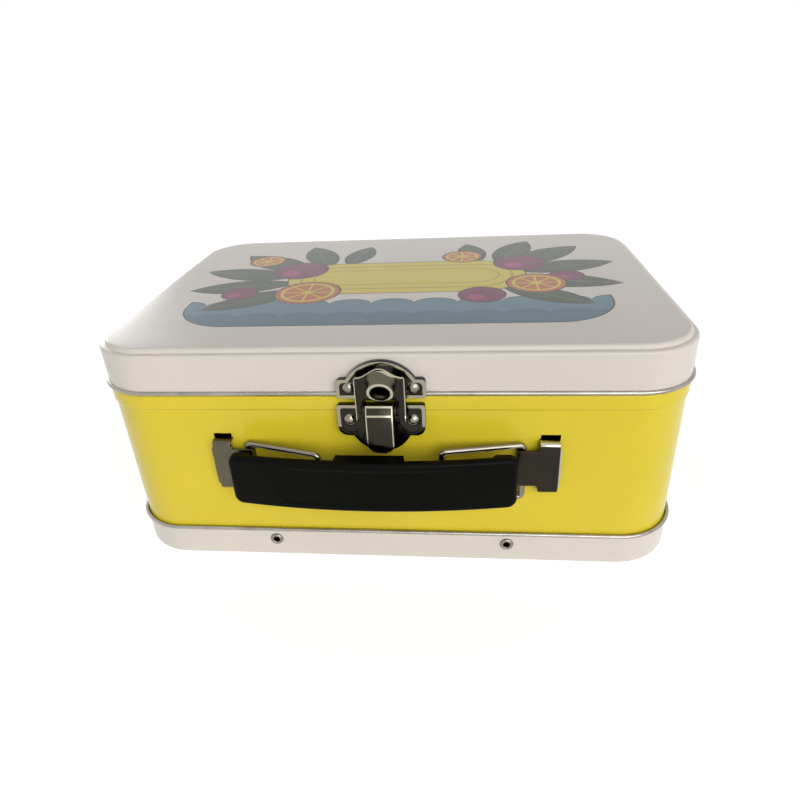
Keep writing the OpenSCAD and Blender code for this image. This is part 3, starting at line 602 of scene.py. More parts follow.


# ---- Painted highlights, painted shade and painted warm reflections: fields over x, the stand-off from the case's front, and z ----
def raised_ridge(s, rub_and_painted_light, x, out, z):
    """Where a highlight is painted on the plates' raised edges: on the base plate only beside the hasp, and
    not on its lower part.
    """
    level = s.less(s.far(out, rub_and_painted_light.ridge_out), rub_and_painted_light.ridge_half)
    clear = s.either(s.less(rub_and_painted_light.ear_to, s.size(x)), s.less(LID_Z, z))
    return s.both(level, clear, s.less(LID_Z - rub_and_painted_light.ridge_foot, z))


def pin_ears(s, rub_and_painted_light, x, out, z):
    """The base plate's curled ears round the pin, where painted shade darkens them."""
    aside = s.size(x)
    across = s.both(s.less(aside, rub_and_painted_light.ear_to), s.less(rub_and_painted_light.ear_from, aside))
    return s.both(across, s.less(rub_and_painted_light.ear_out, out), s.less(z, LID_Z))


def nose_body(s, rub_and_painted_light, x, out, z):
    """The hasp's drawn nose, where a warm reflection is painted."""
    return s.both(s.less(rub_and_painted_light.nose_out, out), s.less(LID_Z + rub_and_painted_light.nose_foot, z))


def hasp_edges(s, rub_and_painted_light, x, out, z):
    """Painted highlights: the hasp's sides and bell-shaped top, and the face of its nose."""
    side = s.less(high("hasp").x - rub_and_painted_light.hasp_side, s.size(x))
    wave = s.math("COSINE", s.times(x, math.pi / rub_and_painted_light.bell_half))
    bell = s.plus(LID_Z + rub_and_painted_light.bell_top, s.times(wave, rub_and_painted_light.bell_rise))
    edge = s.both(s.either(side, s.less(bell, z)), s.less(rub_and_painted_light.flange_out, out))
    c, n = math.cos(rub_and_painted_light.nose_tilt), math.sin(rub_and_painted_light.nose_tilt)
    along = s.less(s.times(out, c), s.times(z, n))
    tip = rub_and_painted_light.nose_root * c - (LID_Z + rub_and_painted_light.nose_z) * n + rub_and_painted_light.nose_l
    return s.either(edge, s.both(s.less(tip, along), s.less(LID_Z + rub_and_painted_light.nose_foot, z)))


def lever_edges(s, rub_and_painted_light, x, out, z):
    """Painted highlights: the lever's top edge, its bend, its sides and its round tip."""
    below = s.math("MINIMUM", s.less(z, LID_Z - rub_and_painted_light.lever_tip), 0.0)
    side = s.less(rub_and_painted_light.lever_half, s.reach(x, below))
    bend = s.less(s.far(z, LID_Z - rub_and_painted_light.lever_bend), rub_and_painted_light.lever_line)
    return s.either(side, bend, s.less(LID_Z - rub_and_painted_light.lever_head, z))


def bracket_edges(s, rub_and_painted_light, x, out, z):
    """Painted highlights: the bracket's upper bend and its outer side."""
    corner = high("handle_bracket_right")
    bend = s.both(s.less(corner.z - rub_and_painted_light.bracket_top, z), s.less(rub_and_painted_light.bracket_out, out))
    return s.either(s.less(corner.x - rub_and_painted_light.bracket_side, x), bend)


# ---- The print on the lid ----
# Leaves: middle, turn, half length and half width. Discs and slices: middle and radius. In millimetres.
LEAVES = (
    (-54, 26, 142, 21, 7.5), (-62, 11, 165, 20, 7), (-60, -5, 190, 20, 7), (-52, -20, 214, 18, 6.5),
    (-37, 35, 112, 17, 6.5), (-20, 35, 78, 14, 5.5), (56, 28, 40, 21, 7.5), (63, 13, 14, 20, 7),
    (61, -5, -12, 20, 7), (45, 36, 66, 17, 6.5), (28, 35, 98, 14, 5.5), (53, -20, -34, 17, 6),
)
DISCS = ((-42, 15, 11.0), (47, 19, 10.0), (31, -19, 8.0), (-59, -13, 6.5), (63, 1, 6.0))
SLICES = ((-33, -13, 12.0), (51, -7, 10.5), (-60, 30, 7.5), (24, 30, 8.0))
# Frame of the waves and the sun: middle, half length, half width and corner radius. In millimetres.
WAVE_FRAME = (0, -6, 74, 40, 20)
SUN = (2, 4, 46, 19, 19)
WAVE_PITCH = 15 * MM
OUTLINE = 0.55 * MM
INK_EDGE = 0.12 * MM
VEIN_HALF = 0.22 * MM
RING_HALF = 0.5 * MM
SPOKE_HALF = 0.35 * MM


class LidPrint:
    """The print on the lid: plain shapes laid over one another, with no lettering."""

    def __init__(self, s, base):
        self.s = s
        self.x, self.y, self.z = s.axes()
        self.base = self.now = base
        self.paint = bpy.context.scene.lunchbox_finish

    def fill(self, field, tone):
        self.now = self.s.mix(self.s.inside(field, INK_EDGE), self.now, tone)

    def outlined(self, field, tone):
        self.fill(self.s.less(field, OUTLINE), self.paint.print_black)
        self.fill(field, tone)

    def circle(self, cx, cy, r):
        """Signed distance to a circle."""
        s = self.s
        return s.less(s.reach(s.less(self.x, cx), s.less(self.y, cy)), r)

    def box(self, cx, cy, half_x, half_y, r):
        """Signed distance to a rectangle with round corners, given in millimetres."""
        s = self.s
        dx = s.less(s.far(self.x, cx * MM), (half_x - r) * MM)
        dy = s.less(s.far(self.y, cy * MM), (half_y - r) * MM)
        outer = s.reach(s.both(dx, 0.0), s.both(dy, 0.0))
        return s.less(s.plus(outer, s.either(s.both(dx, dy), 0.0)), r * MM)

    def below_waves(self, level, rise):
        """The field below a row of round waves at a level."""
        s = self.s
        half = WAVE_PITCH / 2
        share = s.math("DIVIDE", s.math("PINGPONG", s.plus(self.x, 20 * half), half), half)
        bulge = s.math("SQRT", s.less(1.0, s.times(share, share)))
        return s.less(self.y, s.math("MULTIPLY_ADD", bulge, rise, level))

    def waves(self):
        """Two rows of waves along the front, cut off at the sides by a long round frame."""
        frame_field = self.box(*WAVE_FRAME)
        blue = self.paint.print_blue
        self.outlined(self.s.both(self.below_waves(-27 * MM, 5 * MM), frame_field), blue)
        self.fill(self.s.both(self.below_waves(-38 * MM, 4 * MM), frame_field), shade(blue, 0.72))

    def leaf(self, cx, cy, turn, half_l, half_w):
        """A pointed leaf, where two circles overlap, with its vein."""
        s = self.s
        c, n = math.cos(math.radians(turn)), math.sin(math.radians(turn))
        dx, dy = s.less(self.x, cx * MM), s.less(self.y, cy * MM)
        u = s.plus(s.times(dx, c), s.times(dy, n))
        v = s.less(s.times(dy, c), s.times(dx, n))
        r = (half_l * half_l + half_w * half_w) / (2 * half_w) * MM
        off = r - half_w * MM
        leaf = s.both(*(s.less(s.reach(u, s.less(v, side * off)), r) for side in (-1, 1)))
        self.outlined(leaf, self.paint.print_green)
        self.fill(s.both(s.less(s.size(v), VEIN_HALF), leaf), shade(self.paint.print_green, 3.0))

    def sun(self):
        """A broad sun with two rings inside it."""
        s = self.s
        yellow = self.paint.print_yellow
        sun = self.box(*SUN)
        self.outlined(sun, yellow)
        for inset, factor in ((5 * MM, 0.62), (10 * MM, 0.72)):
            self.fill(s.less(s.size(s.plus(sun, inset)), RING_HALF), shade(yellow, factor))

    def disc(self, cx, cy, r):
        """A round fruit with a lighter spot."""
        purple = self.paint.print_purple
        self.outlined(self.circle(cx * MM, cy * MM, r * MM), purple)
        self.fill(self.circle((cx - 0.28 * r) * MM, (cy - 0.3 * r) * MM, 0.35 * r * MM), shade(purple, 2.2))

    def slice(self, cx, cy, r):
        """A cut fruit: rind, pith, and flesh in eight parts."""
        s = self.s
        orange = self.paint.print_orange
        dx, dy = s.less(self.x, cx * MM), s.less(self.y, cy * MM)
        reach = s.reach(dx, dy)
        rind = s.less(reach, r * MM)
        self.outlined(rind, orange)
        self.fill(s.plus(rind, 0.16 * r * MM), self.paint.print_yellow)
        spoke = s.size(s.math("SINE", s.times(s.math("ARCTAN2", dy, dx), 4.0)))
        gap = s.less(SPOKE_HALF, s.times(s.times(spoke, reach), 0.25))
        self.fill(s.both(s.plus(rind, 0.26 * r * MM), gap), orange)

    def on_panel(self):
        """The finished print on the raised panel, and the bare enamel elsewhere."""
        panel = self.s.spread(self.z, TOP - 0.3 * MM, TOP - 0.25 * MM)
        return self.s.mix(panel, self.base, self.now)


def lid_print(s, base):
    """Waves, leaves behind a broad sun, and discs and slices over its ends."""
    pattern = LidPrint(s, base)
    pattern.waves()
    for leaf in LEAVES:
        pattern.leaf(*leaf)
    pattern.sun()
    for disc in DISCS:
        pattern.disc(*disc)
    for fruit_slice in SLICES:
        pattern.slice(*fruit_slice)
    return pattern.on_panel()


# ---- Shared geometry helpers ----
def cut(piece, cutters):
    """Cuts closed meshes, given as (verts, faces), out of a piece."""
    tool = new_object("cutter", bpy.data.meshes.new("cutter"))
    verts, faces = [], []
    for some_verts, some_faces in cutters:
        start = len(verts)
        verts += some_verts
        faces += [tuple(start + i for i in face) for face in some_faces]
    fill_mesh(tool, verts, faces, smooth=False)
    boolean = piece.modifiers.new("cut", "BOOLEAN")
    boolean.object = tool
    boolean.solver = "EXACT"
    bake_modifiers(piece)
    bpy.data.objects.remove(tool)


def block(lo, hi):
    """A closed box."""
    verts = [Vector((x, y, z)) for x in (lo[0], hi[0]) for y in (lo[1], hi[1]) for z in (lo[2], hi[2])]
    return verts, [(0, 1, 3, 2), (4, 6, 7, 5), (0, 4, 5, 1), (2, 3, 7, 6), (0, 2, 6, 4), (1, 5, 7, 3)]


def lathe(profile, start, axis, sides=48):
    """A profile of (radius, distance) turned about an axis through a point. Ends at radius 0 close."""
    axis = Vector(axis).normalized()
    side = axis.orthogonal().normalized()
    other = axis.cross(side)
    verts = []
    for r, d in profile:
        for k in range(sides):
            a = 2 * math.pi * k / sides
            verts.append(Vector(start) + axis * d + side * (r * math.cos(a)) + other * (r * math.sin(a)))
    faces = []
    for i in range(len(profile) - 1):
        for k in range(sides):
            m = (k + 1) % sides
            faces.append((i * sides + k, i * sides + m, (i + 1) * sides + m, (i + 1) * sides + k))
    return verts, faces


def cylinder(start, axis, radius, span):
    return lathe([(0, 0), (radius, 0), (radius, span), (0, span)], start, axis, 32)


def mark_inside(piece, core_z):
    """Writes 1 on the faces that look towards the inside of the case, and 0 on the others."""
    case = bpy.context.scene.lunchbox_case
    half_x, half_y = CASE_W / 2 - case.corner_r, CASE_D / 2 - case.corner_r
    bare = piece.data.attributes.new("bare", "FLOAT", "FACE")
    for i, polygon in enumerate(piece.data.polygons):
        c = polygon.center
        core = Vector((max(-half_x, min(half_x, c.x)), max(-half_y, min(half_y, c.y)), core_z(c.z)))
        bare.data[i].value = 1.0 if polygon.normal.dot(c - core) < 0 else 0.0


def sharpen(piece, degrees=35):
    """Smooth shading that breaks at edges sharper than an angle."""
    for polygon in piece.data.polygons:
        polygon.use_smooth = True
    piece.data.set_sharp_from_angle(angle=math.radians(degrees))


def rivet_seats(node):
    """The middle of each separate solid of a node."""
    bm = bmesh.new()
    bm.from_mesh(frame["nodes"][node].data)
    bmesh.ops.remove_doubles(bm, verts=bm.verts, dist=MERGE_GAP)
    left = set(bm.verts)
    seats = []
    while left:
        queue, found = [left.pop()], []
        while queue:
            vert = queue.pop()
            found.append(vert.co.copy())
            for edge in vert.link_edges:
                other = edge.other_vert(vert)
                if other in left:
                    left.remove(other)
                    queue.append(other)
        lo = Vector([min(p[i] for p in found) for i in range(3)])
        hi = Vector([max(p[i] for p in found) for i in range(3)])
        seats.append((lo, hi))
    bm.free()
    seats.sort(key=lambda box: (round(box[0].y, 4), round(box[0].z, 4), box[0].x))
    return [(lo + hi) / 2 for lo, hi in seats]


# ---- The pressed case ----
# Depth under the lid's panel and over the tray's bottom from which "inside" is reckoned.
CORE_GAP = 6 * MM
# How far the cutters of the bores, and of the slots and notches, reach.
BORE_REACH = 4 * MM
WALL_REACH = 5 * MM
# A slot's start and end from the bracket's outer side, and how far it lies past and under the bracket's edge.
SLOT_START, SLOT_END = 0.25 * MM, 6.25 * MM
SLOT_PAST, SLOT_UNDER = 1.25 * MM, 0.95 * MM
# A notch's half width, and how far it reaches below the middle of its rivet.
NOTCH_HALF, NOTCH_UNDER = 2.9 * MM, 2.2 * MM


def lid_lines(case):
    """Outer and inner lines of the lid's section, from the skirt's edge to the flat panel."""
    shoulder = TOP - case.panel_rise
    panel_r = case.panel_rise - case.groove_r
    groove_x = -case.shoulder_w + case.groove_r
    top_x = -case.shoulder_w - panel_r
    t = case.sheet
    outer = [(0.0, LID_Z)] + arc(-case.edge_r, shoulder - case.edge_r, case.edge_r, 0, 90, 12)
    outer += arc(groove_x, shoulder + case.groove_r, case.groove_r, 270, 180, 6)
    outer += arc(top_x, TOP - panel_r, panel_r, 0, 90, 14)
    inner = [(-t, LID_Z)] + arc(-case.edge_r, shoulder - case.edge_r, case.edge_r - t, 0, 90, 8)
    inner += arc(groove_x, shoulder + case.groove_r, case.groove_r + t, 270, 180, 6)
    inner += arc(top_x, TOP - panel_r, panel_r - t, 0, 90, 10)
    return outer, inner


def bead_ring(name, body, z, replaced):
    """The rolled edge as one round wire about the case."""
    case = bpy.context.scene.lunchbox_case
    piece = new_piece(name, body, replaced)
    r = case.bead_d / 2
    profile = arc(r - case.sheet, z, r, 0, 360, 28)[:-1]
    fill_mesh(piece, *swept(stations(case.corner_r), profile))
    return piece


class LUNCHBOX_OT_lid(bpy.types.Operator):
    """Builds the pressed lid with its raised panel and rolled edge"""

    bl_idname = "lunchbox.lid"
    bl_label = "Lid"

    def execute(self, context):
        case = context.scene.lunchbox_case
        outer, inner = lid_lines(case)
        profile = list(reversed(inner)) + outer
        path = stations(case.corner_r)
        verts, faces = swept(path, profile, closed=False)
        add_panel(verts, faces, path, -outer[-1][0], TOP)
        add_panel(verts, faces, path, -inner[-1][0], TOP - case.sheet)
        lid = new_piece("lid_finish", "lid", ("lid_shell",))
        fill_mesh(lid, verts, faces)
        lid.data.set_sharp_from_angle(angle=math.radians(50))
        mark_inside(lid, lambda z: min(z, TOP - CORE_GAP))
        finish = context.scene.lunchbox_finish
        lid.data.materials.append(enamel("lid enamel", finish.white, lid_print))
        bead = bead_ring("lid_bead_finish", "lid", LID_Z, ("lid_rim_bead",))
        bead.data.materials.append(rolled_tin("rolled tin of the lid"))
        return {"FINISHED"}


class LUNCHBOX_OT_body(bpy.types.Operator):
    """Builds the wall band with its collar and neck, the bottom tray and its rolled edge"""

    bl_idname = "lunchbox.body"
    bl_label = "Body"

    def execute(self, context):
        case = context.scene.lunchbox_case
        finish = context.scene.lunchbox_finish
        t, w = case.sheet, case.wall_in
        path = stations(case.corner_r)
        collar_top = LID_Z - case.bead_d / 2 - case.lid_play
        collar_z = collar_top - case.collar_h
        foot = low("wall_band").z
        section = [(-w, foot)] + soft_step(-w, collar_z, 0.0, collar_z + case.step_h, 12)
        section += arc(-case.collar_r, collar_top - case.collar_r, case.collar_r, 0, 90, 8)
        section += [(-case.neck_in, collar_top)]
        section += arc(-case.neck_in - case.hem_r, NECK_TOP - case.hem_r, case.hem_r, 0, 275, 22)
        section += [(-case.neck_in - t, collar_top - t), (-t, collar_top - t - case.collar_r)]
        section += reversed(soft_step(-w - t, collar_z, -t, collar_z + case.step_h, 12))
        section += [(-w - t, foot)]
        wall = new_piece("wall_finish", "case", ("wall_band",))
        fill_mesh(wall, *swept(path, section), smooth=False)
        cut(wall, eyelet_bores(case) + bracket_slots() + neck_notches(case))
        sharpen(wall)
        mark_inside(wall, lambda z: z)
        wall.data.materials.append(enamel("band enamel", finish.yellow))

        r = case.tray_r
        section = [(-r, 0.0)] + arc(-r, r, r, 270, 360, 14)[1:] + [(0.0, TRAY_Z), (-t, TRAY_Z)]
        section += arc(-r, r, r - t, 360, 270, 10)
        tray = new_piece("tray_finish", "case", ("bottom_tray",))
        verts, faces = swept(path, section, closed=False)
        add_panel(verts, faces, path, r, 0.0)
        add_panel(verts, faces, path, r, t)
        fill_mesh(tray, verts, faces, smooth=False)
        cut(tray, eyelet_bores(case))
        sharpen(tray)
        mark_inside(tray, lambda z: max(z, CORE_GAP))
        tray.data.materials.append(enamel("tray enamel", finish.white))
        bead = bead_ring("tray_bead_finish", "case", TRAY_Z, ("tray_rim_bead",))
        bead.data.materials.append(rolled_tin("rolled tin of the tray"))
        return {"FINISHED"}


def eyelet_bores(case):
    """Closed cylinders through the walls at the tray's tubular rivets."""
    out = []
    for place in rivet_seats("tray_rivets"):
        axis = (0, -1 if place.y < 0 else 1, 0)
        start = Vector((place.x, place.y - axis[1] * BORE_REACH, place.z))
        out.append(cylinder(start, axis, case.eyelet_r, 2 * BORE_REACH))
    return out


def bracket_slots():
    """The four slots that the brackets' tabs pass through."""
    out = []
    for node in ("handle_bracket_left", "handle_bracket_right"):
        lo, hi = low(node), high(node)
        side = -1 if node.endswith("left") else 1
        far = abs(hi.x if side > 0 else lo.x)
        x0, x1 = sorted((side * (far - SLOT_END), side * (far - SLOT_START)))
        for edge, up in ((lo.z, -1), (hi.z, 1)):
            z0, z1 = sorted((edge + up * SLOT_PAST, edge - up * SLOT_UNDER))
            out.append(block((x0, FRONT - 1 * MM, z0), (x1, FRONT + WALL_REACH, z1)))
    return out


def neck_notches(case):
    """Room in the neck for the tails of the strike plate's rivets."""
    out = []
    for place in rivet_seats("strike_rivets"):
        x0, x1 = place.x - NOTCH_HALF, place.x + NOTCH_HALF
        low_end = (x0, FRONT + case.wall_in, place.z - NOTCH_UNDER)
        out.append(block(low_end, (x1, FRONT + WALL_REACH, NECK_TOP + 1 * MM)))
    return out


# ---- Rivets ----
RIVET_PIECES = {
    "strike_rivets": "strike_rivets_finish",
    "latch_base_rivets": "base_rivets_finish",
    "hinge_lid_rivets": "hinge_lid_rivets_finish",
    "hinge_body_rivets": "hinge_body_rivets_finish",
    "tray_rivets": "tray_rivets_finish",
}
# How far a domed head is drawn in at its seat, the play there, and the rounding of a tubular rivet's mouth.
HEAD_UNDERCUT = 0.05 * MM
SEAT_PLAY = 0.02 * MM
BORE_MOUTH = (0.3 * MM, 0.1 * MM)


def rivet_group():
    """Geometry Nodes: one rivet on each seat, turned along the seat's normal, as one plain mesh."""
    tree = bpy.data.node_groups.new("rivets on seats", "GeometryNodeTree")
    tree.interface.new_socket("Geometry", in_out="INPUT", socket_type="NodeSocketGeometry")
    rivet = tree.interface.new_socket("Rivet", in_out="INPUT", socket_type="NodeSocketObject")
    finish = tree.interface.new_socket("Finish", in_out="INPUT", socket_type="NodeSocketMaterial")
    tree.interface.new_socket("Geometry", in_out="OUTPUT", socket_type="NodeSocketGeometry")
    nodes, links = tree.nodes, tree.links
    entry = nodes.new("NodeGroupInput")
    leave = nodes.new("NodeGroupOutput")
    info = nodes.new("GeometryNodeObjectInfo")
    turn = nodes.new("GeometryNodeInputNamedAttribute")
    turn.data_type = "FLOAT_VECTOR"
    turn.inputs["Name"].default_value = "seat_turn"
    place = nodes.new("GeometryNodeInstanceOnPoints")
    solid = nodes.new("GeometryNodeRealizeInstances")
    coat = nodes.new("GeometryNodeSetMaterial")
    links.new(entry.outputs["Geometry"], place.inputs["Points"])
    links.new(entry.outputs["Rivet"], info.inputs["Object"])
    links.new(info.outputs["Geometry"], place.inputs["Instance"])
    links.new(turn.outputs["Attribute"], place.inputs["Rotation"])
    links.new(place.outputs["Instances"], solid.inputs["Geometry"])
    links.new(solid.outputs["Geometry"], coat.inputs["Geometry"])
    links.new(entry.outputs["Finish"], coat.inputs["Material"])
    links.new(coat.outputs["Geometry"], leave.inputs["Geometry"])
    return tree, rivet.identifier, finish.identifier


def set_rivets(node, body, group, profile, seat_h, material):
    """Rivets of a lathed profile on a node's seats. seat_h is the seats' distance from the case's wall."""
    tree, rivet_id, finish_id = group
    pattern = new_object("pattern", bpy.data.meshes.new("pattern"))
    fill_mesh(pattern, *lathe(profile, (0, 0, 0), (0, 0, 1)))
    sharpen(pattern, 50)
    seats = []
    for place in rivet_seats(node):
        out = -1 if place.y < 0 else 1
        seats.append((Vector((place.x, out * (CASE_D / 2 + seat_h), place.z)), out))
    piece = new_piece(RIVET_PIECES[node], body, (node,))
    piece.data.from_pydata([p for p, out in seats], [], [])
    turn = piece.data.attributes.new("seat_turn", "FLOAT_VECTOR", "POINT")
    for i, (p, out) in enumerate(seats):
        turn.data[i].vector = (-out * math.pi / 2, 0, 0)
    growth = piece.modifiers.new("rivets", "NODES")
    growth.node_group = tree
    growth[rivet_id] = pattern
    growth[finish_id] = material
    bake_modifiers(piece)
    bpy.data.objects.remove(pattern)


def domed_rivet(rivet, floor):
    """Section of a domed rivet: radius and distance from its seat. floor is where its tail is set."""
    r, rise = rivet.head_d / 2, rivet.rise
    dome = (r * r + rise * rise) / (2 * rise)
    spread = math.degrees(math.asin(r / dome))
    head = arc(0.0, rise - dome, dome, 90 - spread, 90, 14)
    tail = [(0, floor - rivet.tail_t), (rivet.tail_r, floor - rivet.tail_t), (rivet.tail_r, floor)]
    return tail + [(rivet.shank_r, floor), (rivet.shank_r, 0.0), (r - HEAD_UNDERCUT, -SEAT_PLAY)] + head


def tubular_rivet(rivet, case, back):
    """Section of a tubular rivet: its inner flange, shank, rounded outer flange and countersunk bore."""
    t, bore = rivet.eyelet_t, rivet.eyelet_bore
    flange, shank = rivet.eyelet_d / 2, case.eyelet_r - SEAT_PLAY
    section = [(bore, back - t), (flange, back - t), (flange, back), (shank, back), (shank, 0.0)]
    section += arc(flange - t, 0.0, t, 0, 90, 9)
    wide, narrow = BORE_MOUTH
    return section + [(bore + wide, t), (bore + narrow, t - narrow), (bore, t - wide), (bore, back - t)]


class LUNCHBOX_OT_rivets(bpy.types.Operator):
    """Sets the domed rivets of the latch and hinges and the tubular rivets of the tray"""

    bl_idname = "lunchbox.rivets"
    bl_label = "Rivets"

    def execute(self, context):
        finish = context.scene.lunchbox_finish
        rivet = context.scene.lunchbox_rivet
        case = context.scene.lunchbox_case
        group = rivet_group()
        bright = nickel_plate("rivet nickel", finish.nickel, 0.14, 0.24)
        lid_back, wall_back = -case.sheet, -case.wall_in - case.sheet
        for node, body, seat, back in (
            ("strike_rivets", "lid", rivet.plate_h, lid_back),
            ("latch_base_rivets", "case", rivet.plate_h, wall_back),
            ("hinge_lid_rivets", "lid", rivet.leaf_h, lid_back),
            ("hinge_body_rivets", "case", rivet.leaf_h, wall_back),
        ):
            set_rivets(node, body, group, domed_rivet(rivet, back - seat), seat, bright)
        set_rivets("tray_rivets", "case", group, tubular_rivet(rivet, case, wall_back), 0.0, bright)
        return {"FINISHED"}


# ---- Latch ----
class LUNCHBOX_OT_latch(bpy.types.Operator):
    """Finishes the latch: strike plate, base plate, hasp with its hollow nose, lever and pins"""

    bl_idname = "lunchbox.latch"
    bl_label = "Latch"

    def execute(self, context):
        finish = context.scene.lunchbox_finish
        # The rim tone paints highlights on the plates' ridges and on the hasp's and lever's edges; the dark
        # ear tone is painted shade; the warm tone is a painted warm reflection on the nose.
        dark, warm, rim = finish.nickel_dark, finish.painted_warm_reflection, finish.rim
        ridge, ear = (shade(rim, 0.7), raised_ridge), (shade(dark, 0.4), pin_ears)
        plate = nickel_plate("plate nickel", dark, 0.16, 0.26, ridge, ear)
        arm = nickel_plate("hasp nickel", dark, 0.16, 0.26, (warm, nose_body), (rim, hasp_edges))
        lever = nickel_plate("lever nickel", shade(dark, 1.2), 0.20, 0.30, (rim, lever_edges))
        pin = nickel_plate("pin nickel", shade(dark, 0.6), 0.16, 0.26)
        for name, node, body, width, material in (
            ("strike_plate_finish", "strike_plate", "lid", 0.20, plate),
            ("base_plate_finish", "latch_base_plate", "case", 0.20, plate),
            ("hasp_finish", "hasp", "hasp", 0.16, arm),
            ("lever_finish", "latch_lever", "lever", 0.22, lever),
            ("hasp_pin_finish", "hasp_pin", "case", 0.12, pin),
            ("lever_pin_finish", "lever_pin", "hasp", 0.12, pin),
        ):
            stamped_part(name, node, body, width * MM, material)
        return {"FINISHED"}


# ---- Brackets and links ----
def link_path(handle, side):
    """Points of a link's wire: a loop with round bends, turned out of the wall about its pivot."""
    half, reach = handle.link_half, handle.link_l
    corners = [Vector((0, half)), Vector((0, -half)), Vector((reach, -half)), Vector((reach, half))]
    flat = []
    count = len(corners)
    for i, corner in enumerate(corners):
        before = (corner - corners[i - 1]).normalized()
        after = (corners[(i + 1) % count] - corner).normalized()
        turn = math.acos(max(-1, min(1, before.dot(after))))
        back = handle.link_bend * math.tan(turn / 2)
        centre = corner - before * back + Vector((-before.y, before.x)) * handle.link_bend
        first = math.atan2(-before.x, before.y)
        for k in range(9):
            a = first + turn * k / 8
            flat.append(centre + Vector((math.cos(a), math.sin(a))) * handle.link_bend)
        start = corner + after * back
        following = (corners[(i + 2) % count] - corners[(i + 1) % count]).normalized()
        next_turn = math.acos(max(-1, min(1, after.dot(following))))
        end = corners[(i + 1) % count] - after * handle.link_bend * math.tan(next_turn / 2)
        flat += [start.lerp(end, k / 10) for k in range(1, 10)]
    lean = handle.left_angle if side < 0 else handle.right_angle
    c, s = math.cos(lean), math.sin(lean)
    pivot = joint_place("link_swing_left" if side < 0 else "link_swing_right")
    return [Vector((pivot.x - side * p.x * c, pivot.y - p.x * s, pivot.z + p.y)) for p in flat]


def joint_place(name):
    """The place of a joint, in the shared frame."""
    return Vector(next(joint["pos_m"] for joint in frame["joints"] if joint["name"] == name))


class LUNCHBOX_OT_links(bpy.types.Operator):
    """Finishes the two T-shaped brackets and bends the two wire links"""

    bl_idname = "lunchbox.links"
    bl_label = "Brackets and links"

    def execute(self, context):
        finish = context.scene.lunchbox_finish
        handle = context.scene.lunchbox_handle
        # The right bracket gets painted highlights on its bend and outer side; the left bracket's warm colour
        # is a painted warm reflection.
        painted_highlight = (finish.rim, bracket_edges)
        warm = nickel_plate("left bracket nickel", finish.painted_warm_reflection, 0.20, 0.32)
        dark = nickel_plate("right bracket nickel", finish.nickel_dark, 0.18, 0.30, painted_highlight)
        wire = nickel_plate("wire nickel", finish.nickel, 0.12, 0.22)
        for side, word, metal in ((-1, "left", warm), (1, "right", dark)):
            node = f"handle_bracket_{word}"
            stamped_part(f"bracket_{word}_finish", node, "case", 0.2 * MM, metal)
            link = new_piece(f"link_{word}_finish", f"link_{word}", (f"handle_link_{word}",))
            fill_mesh(link, *tube(link_path(handle, side), handle.wire_d / 2))
            link.data.materials.append(wire)
        return {"FINISHED"}


# ---- Grip ----
# Points on each long run, short run and corner of the grip's rings.
RING_COUNTS = (160, 24, 10)


def rect_ring(half_x, half_z, r):
    """Points of a rectangle with round corners, with a fixed number of points on each run and corner."""
    long_count, short_count, corner_count = RING_COUNTS
    out = []
    runs = (
        ((half_x, -half_z + r), (half_x, half_z - r), short_count, (half_x - r, half_z - r), 0),
        ((half_x - r, half_z), (-half_x + r, half_z), long_count, (-half_x + r, half_z - r), 90),
        ((-half_x, half_z - r), (-half_x, -half_z + r), short_count, (-half_x + r, -half_z + r), 180),
        ((-half_x + r, -half_z), (half_x - r, -half_z), long_count, (half_x - r, -half_z + r), 270),
    )
    for (x0, z0), (x1, z1), count, (cx, cz), start in runs:
        out += [(x0 + (x1 - x0) * k / count, z0 + (z1 - z0) * k / count) for k in range(count)]
        out += arc(cx, cz, r, start, start + 90, corner_count)[:-1]
    return out


def seam(start):
    """Closes the narrow slot left inside the smallest ring: its upper run is joined to its lower run."""
    long_count, short_count, corner_count = RING_COUNTS
    end_count = short_count + corner_count
    top = start + end_count
    bottom = top + long_count + corner_count + end_count
    across = range(long_count)
    faces = [(top + k, top + k + 1, bottom + long_count - k - 1, bottom + long_count - k) for k in across]
    ring_size = 2 * (long_count + short_count + 2 * corner_count)
    around = range(end_count + corner_count + 1)
    faces.append(tuple(top + long_count + k for k in around))
    faces.append(tuple(start + (k - corner_count) % ring_size for k in around))
    return faces


def bow_radius(half_l, bow):
    """Radius of an arc of a half length and a bow."""
    return (half_l * half_l + bow * bow) / (2 * bow)


def ramp(value):
    """A value held between nought and one."""
    return min(1.0, max(0.0, value))


